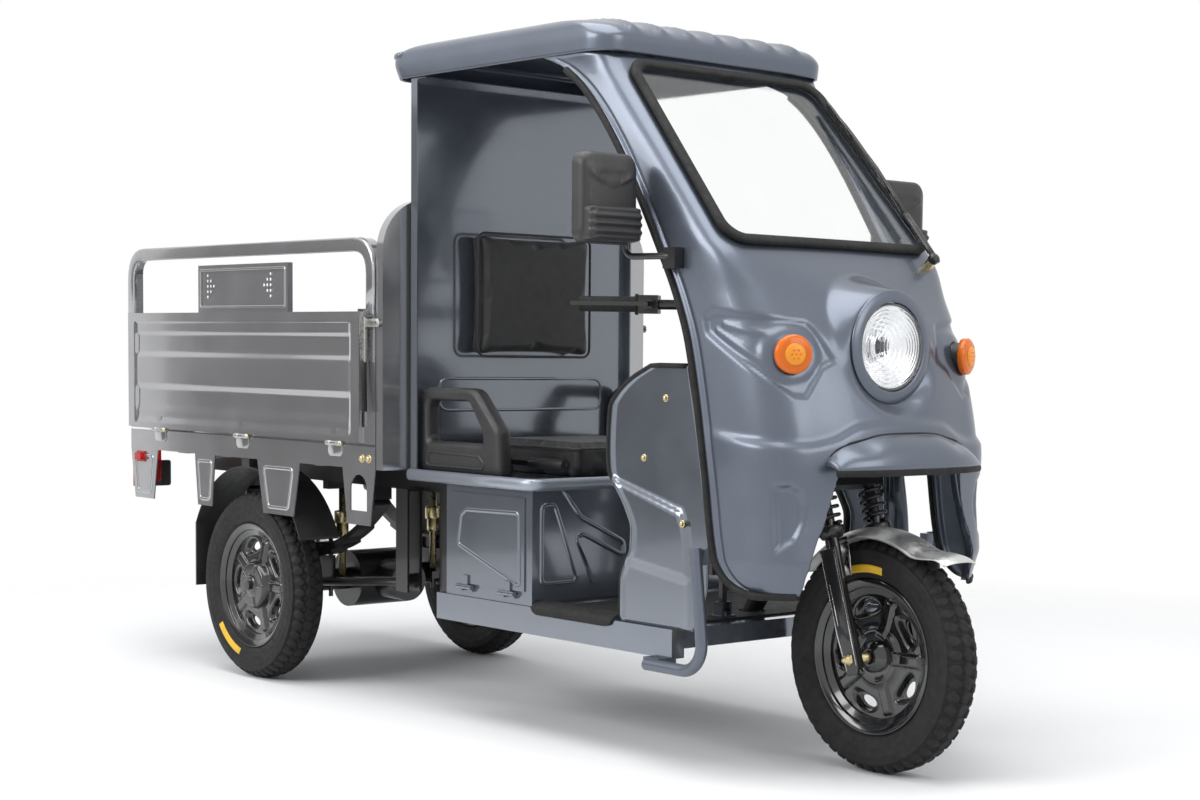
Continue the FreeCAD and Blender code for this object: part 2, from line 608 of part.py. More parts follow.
# Rear axle: tube, motor, spring pads with U-bolts, backing plates, radius rods with front eyes
axle = [
    rod("Y", "axle_tube_radius", ("rear_axle_x", "tyre_radius"), "0 - rail_side - 60", "rail_side + 60"),
    rod("Y", "motor_radius", ("rear_axle_x", "tyre_radius"), "0 - motor_width/2", "motor_width/2"),
    rod("X", "motor_radius*0.7", ("0", "tyre_radius"), "rear_axle_x", "rear_axle_x + motor_radius*2.1"),
]
hub_face = "(track/2 - hub_width/2 - moving_gap)"
pad_top = "(leaf_low_z - leaf_thick*4 - 0.3)"
clamp = "(leaf_low_z + 3)"
for side in SIDES:
    spindle = ("rear_axle_x", "tyre_radius")
    tip = f"{side}*(track/2 + hub_width/2 + 12)"
    root = f"{side}*(rail_side + 40)"
    plate_out, plate_in = f"{side}*{hub_face}", f"{side}*({hub_face} - 10)"
    spans = [(root, tip, "spindle_radius"), (plate_in, plate_out, "drum_radius - 4")]
    spans.append((f"{side}*(rail_side + 50)", plate_in, "spindle_radius*1.7"))
    for near, far, size in spans:
        axle.append(rod("Y", size, spindle, near if side > 0 else far, far if side > 0 else near))
    mid = f"{side}*rail_side"
    axle.append(box("rear_axle_x - 45", "rear_axle_x + 45", f"{mid} - leaf_width/2 - 16",
                    f"{mid} + leaf_width/2 + 16",
                    "tyre_radius", pad_top))
    axle.append(box("rear_axle_x - 45", "rear_axle_x + 45", f"{mid} - leaf_width/2 - 16",
                    f"{mid} + leaf_width/2 + 16",
                    clamp, f"{clamp} + 8"))
    for end in SIDES:
        for edge in SIDES:
            stud = (f"rear_axle_x + {end}*34", f"{mid} + {edge}*(leaf_width/2 + 8)")
            axle.append(rod("Z", "6", stud, "tyre_radius - axle_tube_radius - 12", f"{clamp} + 22"))
    start = Vector(value("rear_axle_x"), value(f"{side}*rod_side"), value("tyre_radius"))
    finish = Vector(value("pivot_x"), value(f"{side}*rod_side"), value("pivot_z"))
    bar = Part.makeCylinder(value("rod_radius"), (finish - start).Length, start, finish - start)
    axle.append(solid(bar))
    axle.append(rod("Y", "eye_radius", ("pivot_x", "pivot_z"), f"{side}*rod_side - eye_width/2",
                    f"{side}*rod_side + eye_width/2"))
    axle.append(box("rear_axle_x - 30", "rear_axle_x + 30", f"{side}*rod_side - 12",
                    f"{side}*rod_side + 12",
                    "tyre_radius - 26", "tyre_radius + 26"))
    axle.append(box("rear_axle_x", "rear_axle_x + shock_forward + 14", f"{side}*shock_side - 12",
                    f"{side}*shock_side + 12",
                    "tyre_radius - 10", "tyre_radius + 10"))
eye_bores = [rod("Y", "rod_pin_radius + running_gap", ("pivot_x", "pivot_z"),
                 f"{side}*rod_side - eye_width",
                 f"{side}*rod_side + eye_width") for side in SIDES]
node("rear_axle", cut(fuse(*axle), *eye_bores))
shocks = []
for side in SIDES:
    spot = ("rear_axle_x + shock_forward", f"{side}*shock_side")
    shocks.append(fuse(rod("Z", "shock_radius", spot, "tyre_radius + 60", "tyre_radius + 180"),
                       rod("Z", "shock_radius*0.55", spot, "tyre_radius + 10.3", "rail_low - 24.3"),
                       rod("Z", "shock_radius*1.3", spot, "tyre_radius + 150", "tyre_radius + 190")))
node("shock_absorbers", group(*shocks))

# Load bed: floor on bearers, box sills, and the skirt brackets that hang from the sills
tray = [box("bed_rear_x", "bed_front_x", "0 - bed_half + gate_thick + 2", "bed_half - gate_thick - 2",
            "sill_top - 8", "sill_top - 8 + sheet")]
for side in SIDES:
    low, high = ("0 - bed_half", "sill_width - bed_half") if side < 0 else ("bed_half - sill_width",
                                                                            "bed_half")
    tray.append(box("bed_rear_x", "bed_front_x", low, high, "sill_low", "sill_top"))
for start in ("bed_rear_x", "bed_front_x - sill_width"):
    tray.append(box(start, f"{start} + sill_width", "0 - bed_half", "bed_half", "sill_low", "sill_top"))
for share in (0.22, 0.41, 0.59, 0.78):
    start = f"(bed_rear_x + bed_length*{share})"
    tray.append(box(start, f"{start} + bearer_width", "0 - bed_half", "bed_half", "rail_top",
                    "sill_top - 8"))
skirts = []
corner_low = "(sill_low - skirt_height)"
skin = ("0 - bed_half", "sheet - bed_half")
for start, width, drop in (("bed_rear_x", "160", corner_low), ("rear_axle_x - 270", "112", corner_low),
                           ("rear_axle_x + 67", "215", corner_low),
                           ("bed_front_x - 150", "150", corner_low)):
    side_plate = plate("XZ_Plane", [(start, "sill_low + 4"), (f"{start} + {width}", "sill_low + 4"),
                                    (f"{start} + {width}*0.85", drop), (f"{start} + {width}*0.15", drop)],
                                    "sheet")
    place(side_plate, "0", "sheet/2 - bed_half", "0")
    skirts.append(side_plate)
window = fuse(box("bed_front_x - 112", "bed_front_x - 38", "0 - bed_half - 1", "5 - bed_half",
                  "sill_low - 105", "sill_low - 52"),
              rod("Y", "37", ("bed_front_x - 75", "sill_low - 52"), "0 - bed_half - 1", "5 - bed_half"))
skirts[-1] = cut(skirts[-1], window)
for skirt in list(skirts):
    skirts.append(mirror(skirt))
node("bed_frame", fuse(*tray, *skirts))

board = box("head_x", "head_x + headboard_depth", "0 - bed_half", "bed_half", "sill_low",
            "bed_height + headboard_height")
board = rounded(board, "headboard_corner", lambda a, b: along("X")(a, b) and a.z > value("bed_height + 10"))
hollow = box("head_x - 1", "head_x + headboard_depth - sheet", "40 - bed_half", "bed_half - 40",
             "bed_height + 12",
             "bed_height + headboard_height - 40")
hollow = rounded(hollow, "headboard_corner - 40",
                 lambda a, b: along("X")(a, b) and a.z > value("bed_height + 200"))
pegs = []
peg_z = "(gate_low + gate_panel - 27)"
peg_x = "(head_x + headboard_depth*0.55)"
for side in SIDES:
    ends = ("bed_half - 4", "bed_half + 13") if side > 0 else ("0 - bed_half - 13", "4 - bed_half")
    pegs.append(rod("Y", "peg_radius", (peg_x, peg_z), *ends))
spacers = [box("bed_front_x", "head_x + 1", f"{side}*bed_half*0.6 - 40", f"{side}*bed_half*0.6 + 40",
               "sill_low + 6", "sill_top - 12") for side in SIDES]
node("headboard", fuse(cut(board, hollow), *pegs, *spacers))

# Drop gates: a bent tube hoop over a ribbed panel
hinge_z = "(bed_height + 1)"
fixed_hinges = []


def gate_panel(length, height, hoop):
    """A gate standing in the XZ plane with its outer face at Y = 0 and its thickness towards +Y."""
    blank = box("0", length, "0", "gate_thick", "0", height)
    blank = rounded(blank, "gate_corner" if hoop else "6",
                    lambda a, b: along("Y")(a, b) and a.z > value(height) - 1)
    tools = [box("gate_tube", f"{length} - gate_tube", "gate_rib + sheet", "gate_thick + 1", "gate_tube",
                 "gate_panel - gate_tube")]
    if hoop:
        window = box("gate_tube", f"{length} - gate_tube", "-1", "gate_thick + 1", "gate_panel",
                     f"{height} - gate_tube")
        tools.append(rounded(window, "gate_corner - gate_tube",
                             lambda a, b: along("Y")(a, b) and a.z > value(height) - value("gate_tube") - 1))
    for low, high in ((0.13, 0.31), (0.36, 0.64), (0.69, 0.9)):
        depth = "gate_rib" if low != 0.36 else "gate_rib*0.4"
        tools.append(box("gate_tube*1.3", f"{length} - gate_tube*1.3", "-1", depth, f"gate_panel*{low}",
                         f"gate_panel*{high}"))
    panel = cut(blank, *tools)
    if not hoop:
        return panel
    middle = f"({length})*0.49"
    plaque = box(f"{middle} - plaque_length/2", f"{middle} + plaque_length/2", "4", "gate_thick - 6",
                 "gate_panel - 2", "gate_panel + plaque_height")
    face = box(f"{middle} - plaque_length/2 + 14", f"{middle} + plaque_length/2 - 14", "0", "7",
               "gate_panel + 12", "gate_panel + plaque_height - 12")
    return fuse(panel, cut(plaque, face))


def side_gate():
    panel = place(gate_panel("bed_length", "gate_height", True), "bed_rear_x", "0 - bed_half", "gate_low")
    moving = [panel]
    hinge_spots = ("bed_rear_x + hinge_inset", "(bed_rear_x + bed_front_x)/2", "bed_front_x - hinge_inset")
    fixed_plate = ("0 - hinge_out", "0 - bed_half", f"{hinge_z} - hinge_plate", f"{hinge_z} - 2")
    turning_plate = ("0 - hinge_out", "0.5 - bed_half", "gate_low", "gate_low + hinge_plate")
    for spot in hinge_spots:
        fixed, turning = knuckles("X", spot, ("0 - hinge_out", hinge_z), (fixed_plate, turning_plate))
        fixed_hinges.append(fixed)
        fixed_hinges.append(mirror(fixed))
        moving.append(turning)
    for ear in latch_ears():
        moving.append(ear)
    return fuse(*moving)


latch_x = "(bed_front_x - latch_inset)"
latch_z = "(gate_low + gate_panel - 4)"
latch_y = "(0 - bed_half - 11)"


def latch_ears():
    ears = []
    pin = rod("X", "pin_radius", (latch_y, latch_z), f"{latch_x} - latch_width/2 - 7",
              f"{latch_x} + latch_width/2 + 7")
    for side in SIDES:
        middle = f"{latch_x} + {side}*(latch_width/2 + moving_gap + 2.5)"
        ears.append(box(f"{middle} - 2.5", f"{middle} + 2.5", f"{latch_y} - 8", "2 - bed_half",
                        f"{latch_z} - 10", f"{latch_z} + 10"))
    return [pin, *ears]


def latch():
    """A lever that hangs from its pin, with a slotted link that reaches the headboard's peg."""
    half = "latch_width/2"
    lever = box(f"{latch_x} - {half}", f"{latch_x} + {half}", f"{latch_y} - latch_thick/2",
                f"{latch_y} + latch_thick/2",
                f"{latch_z} - latch_length", f"{latch_z} + 8")
    boss = rod("X", "8", (latch_y, latch_z), f"{latch_x} - {half}", f"{latch_x} + {half}")
    knob = box(f"{latch_x} - {half}", f"{latch_x} + {half}", f"{latch_y} - latch_thick*1.6",
               f"{latch_y} + latch_thick/2",
               f"{latch_z} - latch_length - 2", f"{latch_z} - latch_length*0.55")
    link_bar = box(f"{latch_x} - {half}", f"{peg_x} + peg_radius + 8", f"{latch_y} - 2", f"{latch_y} + 2",
                   f"{peg_z} - peg_radius - 7", f"{peg_z} + peg_radius + 5")
    slot = box(f"{peg_x} - peg_radius*2.5", f"{peg_x} + peg_radius + 1", f"{latch_y} - 5", f"{latch_y} + 5",
               f"{peg_z} - peg_radius - 1", f"{peg_z} + peg_radius + 1")
    bore = rod("X", "pin_radius + running_gap", (latch_y, latch_z), f"{latch_x} - latch_width",
               f"{latch_x} + latch_width")
    return cut(fuse(lever, boss, knob, link_bar), slot, bore)


right_gate = node("side_gate_right", side_gate())
node("side_gate_left", mirror(right_gate))
right_latch = node("gate_latch_right", latch())
node("gate_latch_left", mirror(right_latch))

tail = gate_panel("2*(bed_half - gate_thick - 4)", "gate_panel", False)
tail = place(tail, "bed_rear_x", "bed_half - gate_thick - 4", "gate_low", Rotation(Vector(0, 0, 1), -90))
tail_moving = [tail]
tail_fixed_leaf = ("bed_rear_x - hinge_radius - 0.5", "bed_rear_x", f"{hinge_z} - hinge_plate",
                   f"{hinge_z} - 2")
tail_turning_leaf = ("bed_rear_x - hinge_radius - 0.5", "bed_rear_x + 0.5", "gate_low",
                     "gate_low + hinge_plate")
for side in SIDES:
    fixed, turning = knuckles("Y", f"{side}*bed_half*0.6", ("bed_rear_x - hinge_radius - 0.5", hinge_z),
                              (tail_fixed_leaf, tail_turning_leaf))
    fixed_hinges.append(fixed)
    tail_moving.append(turning)
node("tailgate", fuse(*tail_moving))
node("gate_hinges", group(*fixed_hinges))

# Mudguards over the rear wheels, with flaps behind them
guards = []
for side in SIDES:
    ends = ("bed_half - guard_width", "bed_half - sheet - 0.5")
    if side < 0:
        ends = ("sheet + 0.5 - bed_half", "guard_width - bed_half")
    hub = ("rear_axle_x", "tyre_radius + guard_rise")
    arch = cut(rod("Y", "guard_radius", hub, *ends), rod("Y", "guard_radius - sheet", hub, *ends))
    band = box("rear_axle_x - guard_radius*0.9", "rear_axle_x + guard_radius*0.9", *ends,
               "tyre_radius + guard_rise + guard_radius*0.3", "sill_low - 0.5")
    stay = box("rear_axle_x - 20", "rear_axle_x + 20", *ends, "tyre_radius + guard_rise + guard_radius - 2",
               "sill_low")
    flap = box("rear_axle_x - guard_radius*0.9", "rear_axle_x - guard_radius*0.9 + sheet*2", *ends,
               "tyre_radius + guard_rise + guard_radius*0.45 - flap_length",
               "tyre_radius + guard_rise + guard_radius*0.45")
    guards.append(fuse(common(arch, band), stay, flap))
node("mudguards", group(*guards))

# Lamps on the rear corners
tails = []
for side in SIDES:
    y0 = f"{side}*(bed_half - 70)"
    tails.append(fuse(box("bed_rear_x - lamp_depth", "bed_rear_x - 6", f"{y0} - 55", f"{y0} + 55",
                          "sill_low - 112", "sill_low - 40"),
                      box("bed_rear_x - 8", "bed_rear_x + 6", f"{y0} - 20", f"{y0} + 20", "sill_low - 100",
                          "sill_low")))
marker = fuse(box("bed_rear_x + 40", "bed_rear_x + 86", "0 - bed_half - 4", "0 - bed_half", "sill_low - 36",
                  "sill_low - 6"),
              box("bed_rear_x + 46", "bed_rear_x + 80", "0 - bed_half - 13", "0 - bed_half - 4",
                  "sill_low - 31", "sill_low - 11"))
node("rear_lamps", group(*tails, marker, mirror(marker)))

# Front fork: steerer, two yokes and stanchions turn with the bar
yoke_top = "(head_low + head_length + 2)"
upper = [fork_rod("steerer_radius", "0", "yoke_low", "stem_top - stem_drop")]
for level in ("yoke_low", yoke_top):
    upper.append(fork_box("-24", "24", "0 - leg_side - 22", "leg_side + 22", level,
                          f"{level} + yoke_thick"))
for side in SIDES:
    upper.append(fork_rod("stanchion_radius", f"{side}*leg_side", "leg_top - 90",
                          f"{yoke_top} + yoke_thick"))
node("fork_yokes", fuse(*upper))

lower = []
for side in SIDES:
    leg = fuse(fork_rod("leg_radius", f"{side}*leg_side", "-24", "leg_top"),
               fork_box("-17", "17", f"{side}*leg_side - 14", f"{side}*leg_side + 14", "-30", "60"))
    bore = fork_rod("stanchion_radius + running_gap", f"{side}*leg_side", "leg_top - 180", "leg_top + 1")
    lower.append(cut(leg, bore))
lower.append(rod("Y", "front_axle_radius", ("front_axle_x", "tyre_radius"), "0 - leg_side - 24",
                 "leg_side + 24"))
for side in SIDES:
    ends = (f"{side}*(hub_width/2 + moving_gap)", f"{side}*(leg_side - 10)")
    lower.append(rod("Y", "spindle_radius*1.5", ("front_axle_x", "tyre_radius"),
                     *(ends if side > 0 else ends[::-1])))
lower.append(rod("Y", "spindle_radius", ("front_axle_x", "tyre_radius"), "0 - hub_width/2 - 4",
                 "hub_width/2 + 4"))
node("fork_legs", fuse(*lower))
spring_low = value("leg_top + spring_wire + 0.4")
spring_length = value("yoke_low - leg_top - 2*spring_wire - 0.8")
spring_shape = coil(value("spring_radius"), value("spring_wire"), spring_length, value("spring_turns"))
springs = []
for side in SIDES:
    spring = solid(spring_shape)
    spot = fork_point(0, side*value("leg_side"), spring_low)
    spring.Placement = Placement(spot, Rotation(Vector(0, -1, 0), value("rake")))
    springs.append(spring)
node("fork_springs", group(*springs))

# Front mudguard: a crowned strip round the tyre, on two stays to the legs
inner_r, outer_r = "(tyre_radius + fender_gap)", "(tyre_radius + fender_gap + fender_sheet)"
strip = turned([(f"{inner_r} - 14", "0 - fender_width/2"), (inner_r, "0 - fender_width/4"),
                (inner_r, "fender_width/4"),
                (f"{inner_r} - 14", "fender_width/2"), (f"{outer_r} - 14", "fender_width/2 + 1"),
                (outer_r, "fender_width/4"),
                (outer_r, "0 - fender_width/4"), (f"{outer_r} - 14", "0 - fender_width/2 - 1")],
                "fender_sweep")
strip.Placement = Placement(Vector(), Rotation(Vector(0, 1, 0), -value("fender_front + fender_sweep")))
bind(strip, {"Placement.Base.x": "front_axle_x", "Placement.Base.z": "tyre_radius"})
stays = []
for side in SIDES:
    inside = f"{side}*(leg_side - leg_radius - 0.1)"
    outside = f"{side}*(fender_width/2 - 6)"
    low, high = (outside, inside) if side > 0 else (inside, outside)
    stays.append(fork_box("-12", "12", low, high, f"{inner_r} - 30", f"{inner_r} - 8"))
node("front_mudguard", fuse(strip, *stays))

# Handlebar: clamp on the steerer, a straight middle and two ends swept back
sweep = radians(value("bar_sweep"))
bend_right = Vector(value("stem_x"), -value("bar_half"), value("bar_z"))
end_right = bend_right + Vector(-sin(sweep), -cos(sweep), 0)*value("bar_reach")
route = [end_right, bend_right, Vector(bend_right.x, -bend_right.y, bend_right.z),
         Vector(end_right.x, -end_right.y, end_right.z)]
bar = solid(bent_tube(route, value("bar_radius"), value("bar_half")))
clamp_block = fork_box("-24", "24", "-26", "26", "stem_top - stem_drop - 36", "stem_top + 14")
clamp_bore = fork_rod("steerer_radius + 0.2", "0", "stem_top - stem_drop - 40",
                      "stem_top - stem_drop + 0.2")
display = fork_box("-52", "-30", "-62", "62", "stem_top - 22", "stem_top + 52")
display_arm = fork_box("-32", "-20", "-12", "12", "stem_top - 20", "stem_top + 10")
node("handlebar", fuse(bar, cut(clamp_block, clamp_bore), display_arm))
node("instrument_display", cut(display,
                               fork_box("-32.3", "-20", "-12.3", "12.3", "stem_top - 20.3",
                                        "stem_top + 10.3")))
grip_start = "(bar_reach - grip_length)"
pod_end = f"({grip_start} - 3)"
pod_start = f"({pod_end} - pod_length)"


def bar_pod():
    block = bar_box(pod_start, pod_end, "0 - pod_depth*0.5", "pod_depth*0.5", "0 - pod_height/2",
                    "pod_height/2")
    return cut(block, bar_rod("bar_radius + 0.1", "0", "0", f"{pod_start} - 1", f"{pod_end} + 1"))


def grip():
    flange = bar_rod("grip_radius + 6", "0", "0", grip_start, f"{grip_start} + 5")
    sleeve = bar_rod("grip_radius", "0", "0", grip_start, "bar_reach + 3")
    return cut(fuse(flange, sleeve),
               bar_rod("bar_radius + running_gap", "0", "0", f"{grip_start} - 1", "bar_reach + 0.3"))


ear_y = "lever_offset"
lever_x = f"({pod_start} + pod_length*0.4)"
ears = [bar_box(f"{lever_x} - 10", f"{lever_x} + 10", "pod_depth*0.5 - 2", f"{ear_y} + 9",
                f"{side}*(lever_thick/2 + moving_gap + 2) - 2",
                f"{side}*(lever_thick/2 + moving_gap + 2) + 2") for side in SIDES]
pin = bar_pin("pin_radius", lever_x, ear_y, "0 - lever_thick/2 - moving_gap - 4",
              "lever_thick/2 + moving_gap + 4")
right_pod = fuse(bar_pod(), *ears, pin)
left_pod = mirror(bar_pod())
button_x = f"({pod_start} + pod_length*0.5)"
well = mirror(bar_pin("button_radius + 0.3", button_x, "0", "bar_radius + 2", "pod_height/2 + 1"))
node("control_pods", group(right_pod, cut(left_pod, well)))
node("horn_button",
     mirror(bar_pin("button_radius", button_x, "0", "bar_radius + 2 + button_travel + 0.5",
                    "pod_height/2 + button_travel + 1")))
node("throttle_grip", grip())
node("left_grip", mirror(grip()))
lever = fuse(bar_pin("9", lever_x, ear_y, "0 - lever_thick/2", "lever_thick/2"),
             bar_box(lever_x, f"{lever_x} + 40", f"{ear_y} - 5", f"{ear_y} + 8", "0 - lever_thick/2",
                     "lever_thick/2"),
             bar_box(f"{lever_x} + 30", "bar_reach + 12", f"{ear_y} - 3", f"{ear_y} + 8",
                     "0 - lever_thick/2", "lever_thick/2"))
node("brake_lever", cut(lever, bar_pin("pin_radius + running_gap", lever_x, ear_y, "0 - 20", "20")))

# Cab floor with its side beams, mat, seat box and deck
pan = [box("box_rear - 4", "floor_front_x", "0 - cab_half + sill_beam_width", "cab_half - sill_beam_width",
           "foot_z - floor_sheet", "foot_z")]
for side in SIDES:
    low, high = ("0 - cab_half",
                 "sill_beam_width - cab_half") if side < 0 else ("cab_half - sill_beam_width", "cab_half")
    pan.append(box("box_rear - 34", "floor_front_x", low, high, "floor_rail_z", "foot_z"))
pan.append(box("floor_front_x - 45", "floor_front_x", "0 - cab_half + sill_beam_width",
               "cab_half - sill_beam_width", "floor_rail_z + 20", "foot_z"))
support = [box(spot, f"{spot} + rail_width", "0 - rail_side - rail_width/2", "rail_side + rail_width/2",
               "floor_rail_top", "foot_z - floor_sheet")
           for spot in ("box_rear - 4", "seat_front_x - 20", "floor_front_x - 170")]
mat = box("seat_front_x + mat_margin", "dash_x - mat_margin", "0 - cab_half + mat_margin*1.5",
          "cab_half - mat_margin*1.5", "foot_z", "foot_z + mat_thick")
node("floor_mat", cut(rounded(mat, "mat_margin", along("Z")), solid(tube_way)))

box_half = "(cab_half - 5)"
outer_box = box("box_rear", "seat_front_x", f"0 - {box_half}", box_half, "foot_z", "deck_z - deck_thick")
inner_box = box(f"box_rear + panel", "seat_front_x - panel", f"panel - {box_half}", f"{box_half} - panel",
                "foot_z + panel", "deck_z - deck_thick + 1")
door_x0, door_x1 = f"(box_rear + door_margin)", "(seat_front_x - door_margin)"
door_z0, door_z1 = "(foot_z + door_margin + 6)", "(deck_z - deck_thick - door_margin)"
doorway = box(f"{door_x0} + 8", f"{door_x1} - 8", f"0 - {box_half} - 1", f"panel - {box_half} + 1",
              f"{door_z0} + 8", f"{door_z1} - 8")
door_hinge = (f"(0 - {box_half} - 8)", f"({door_z0} - 8)")
door_fixed_leaf = (door_hinge[0], f"0.5 - {box_half}", f"{door_hinge[1]} - 10", f"{door_hinge[1]} - 2")
door_turning_leaf = (door_hinge[0], f"0 - {box_half} - 2", f"{door_hinge[1]} + 2", f"{door_z0} + 20")
door_parts = [box(door_x0, door_x1, f"0 - {box_half} - 0.5 - panel", f"0 - {box_half} - 0.5", door_z0,
                  door_z1)]
door_frame = []
for spot in (f"({door_x0} + 60)", f"({door_x1} - 60)"):
    fixed, turning = knuckles("X", spot, door_hinge, (door_fixed_leaf, door_turning_leaf))
    door_frame.append(fixed)
    door_parts.append(turning)
park_x, park_z = "(wall_x + 235)", "(deck_z + 30)"
park_ears = [box(f"{park_x} - 14", f"{park_x} + 14", f"{side}*9 - park_side - 3",
                 f"{side}*9 - park_side + 3", "deck_z - 1", f"{park_z} + 12") for side in SIDES]
park_pin = rod("Y", "pin_radius", (park_x, park_z), "0 - park_side - 12", "12 - park_side")
deck = box("wall_x + 4", "seat_front_x + 4", "0 - cab_half", "cab_half", "deck_z - deck_thick", "deck_z")
node("seat_box", fuse(cut(outer_box, inner_box, doorway), *door_frame, deck, *park_ears, park_pin))
node("seat_box_door", fuse(*door_parts))

packs = []
for column in range(2):
    for row in (-1, 0, 1):
        start = f"(box_rear + 14 + {column}*(battery_length + 12))"
        middle = f"{row}*(2*{box_half} - 30)/3"
        half = f"((2*{box_half} - 60)/6)"
        body_of = box(start, f"{start} + battery_length", f"{middle} - {half}", f"{middle} + {half}",
                      "foot_z + panel", "foot_z + panel + battery_height")
        posts = [rod("Z", "8", (f"{start} + battery_length/2", f"{middle} + {side}*{half}*0.7"),
                     "foot_z + panel + battery_height - 2",
                     "foot_z + panel + battery_height + 12") for side in SIDES]
        packs.append(fuse(body_of, *posts))
node("battery_packs", group(*packs))
heat_sink = [box("drop_x - rail_width - 150", "drop_x - rail_width - 20", "-70", "70", "rail_low - 30",
                 "rail_low + 8")]
for index in range(-3, 4):
    heat_sink.append(box("drop_x - rail_width - 146", "drop_x - rail_width - 24", f"{index*18} - 3",
                         f"{index*18} + 3",
                         "rail_low - 44", "rail_low - 28"))
heat_sink.append(box("drop_x - rail_width - 60", "drop_x - rail_width", "-40", "40", "rail_low + 6",
                     "rail_low + 14"))
node("motor_controller", fuse(*heat_sink))


def cushion(length, width, thick, crown):
    """A padded block lying on Z = 0: drawn-in foot, full sides and a crowned top."""
    edge = crown
    return stack([
        (0, edge, length - edge, edge - width, width - edge, crown*1.2),
        (thick*0.3, 0, length, -width, width, crown*1.6),
        (thick*0.7, 0, length, -width, width, crown*1.6),
        (thick - crown*0.5, edge*0.6, length - edge*0.6, edge*0.6 - width, width - edge*0.6, crown*1.8),
        (thick, edge*3, length - edge*3, edge*3 - width, width - edge*3, crown*3),
    ])


seat = solid(cushion(value("seat_length"), value("seat_half"), value("seat_thick"), value("seat_crown")))
seat.Placement = Placement(Vector(value("wall_x + seat_back_gap"), 0, value("deck_z")), UP)
node("seat_cushion", seat)
back = solid(cushion(value("back_height"), value("seat_half"), value("back_thick"),
                     value("seat_crown")*0.7))
back.Placement = Placement(Vector(value("wall_x + panel + bead_gap"), 0, value("back_low + back_height")),
                           Rotation(Vector(0, 1, 0), 90))
node("backrest", back)
loop = rounded(box("arm_x", "arm_x + arm_length", "0 - arm_side - arm_thick/2", "arm_thick/2 - arm_side",
                   "deck_z", "deck_z + arm_height"),
               "arm_bar*1.4", lambda a, b: along("Y")(a, b) and a.z > value("deck_z") + 5)
hole = rounded(box("arm_x + arm_bar", "arm_x + arm_length - arm_bar", "0 - arm_side - arm_thick",
                   "arm_thick - arm_side", "deck_z + arm_bar", "deck_z + arm_height - arm_bar"),
               "arm_bar*0.7", along("Y"))
node("armrests", pair(cut(loop, hole)))

park = fuse(box(park_x, f"{park_x} + park_length*0.6", "0 - park_side - 5", "5 - park_side",
                f"{park_z} - 6", f"{park_z} + 6"),
            rod("Y", "11", (park_x, park_z), "0 - park_side - 5", "5 - park_side"),
            rod("X", "14", ("0 - park_side", park_z), f"{park_x} + park_length*0.45",
                f"{park_x} + park_length"),
            rod("X", "5", ("0 - park_side", park_z), f"{park_x} + park_length",
                f"{park_x} + park_length + 9"))
node("parking_brake_lever", cut(park,
                                rod("Y", "pin_radius + running_gap", (park_x, park_z), "0 - park_side - 8",
                                    "8 - park_side")))

# Cab shell: fairing and screen pillars as one lofted skin, open to the back
SECTIONS = [
    ("chin_z", "front_axle_x + chin_front", 20, 110, "cab_half - 20", "front_axle_x - 125",
     "cab_half - 10"),
    ("cheek_z", "front_axle_x + brow_front", 25, 110, "cab_half - 7", "front_axle_x - 155", "cab_half"),
    ("brow_z", "front_axle_x + brow_front", 35, 110, "cab_half - 10", "front_axle_x - 187", "cab_half"),
    ("nose_z", "front_axle_x + nose_front", 35, 110, "cab_half - 10", "front_axle_x - 240", "cab_half"),
    ("shoulder_z", "front_axle_x - shoulder_back", 25, 90, "cab_half - 7", "front_axle_x - 280",
     "cab_half"),
    ("foot_of_screen_z", "front_axle_x - foot_of_screen_back", 6, 40, "cab_half - 4", "front_axle_x - 335",
     "cab_half"),
    ("top_of_screen_z", "front_axle_x - top_of_screen_back", 6, 40, "cab_half - 27", "front_axle_x - 690",
     "cab_half - 15"),
]
sections = [tuple(value(entry) for entry in section) for section in SECTIONS]
fairing_solid = Part.makeLoft([shell_ring(section, 0, 0) for section in sections], True, True)


def moved(section, rise):
    return (section[0] + rise, *section[1:])


inside = [moved(sections[0], -1), *sections[1:-1], moved(sections[-1], 1)]
fairing_core = Part.makeLoft([shell_ring(section, value("panel"), 40) for section in inside], True, True)

screen_way = Vector(-sin(radians(value("screen_tilt"))), 0, cos(radians(value("screen_tilt"))))
screen_out = Vector(cos(radians(value("screen_tilt"))), 0, sin(radians(value("screen_tilt"))))
screen_foot = Vector(value("front_axle_x - foot_of_screen_back"), 0, value("foot_of_screen_z"))


def screen_outline(margin, depth, corner):
    """The screen's outline drawn in by a margin, at a depth behind the pillars' front."""
    length = value("screen_length - header_height")
    low, top = value("screen_half_low") - margin, value("screen_half_top") - margin
    start = screen_foot - screen_out*depth
    points = [(-low, margin), (low, margin), (top, length - margin), (-top, length - margin)]
    places = [start + Vector(0, across, 0) + screen_way*up for across, up in points]
    edges = []
    ends = []
    for index in range(4):
        here, before, after = places[index], places[index - 1], places[(index + 1) % 4]
        back, ahead = (before - here).normalize(), (after - here).normalize()
        half_turn = (pi - acos(back.dot(ahead)))/2
        reach = corner*tan(half_turn)
        crest = here + (back + ahead).normalize()*(corner/cos(half_turn) - corner)
        ends.append((here + back*reach, crest, here + ahead*reach))
    for index in range(4):
        first, crest, last = ends[index]
        edges.append(Part.Arc(first, crest, last).toShape())
        edges.append(Part.LineSegment(last, ends[(index + 1) % 4][0]).toShape())
    return Part.Face(Part.Wire(edges))


def screen_slab(margin, depth, thick, corner):
    return screen_outline(margin, depth, corner).extrude(screen_out*thick)


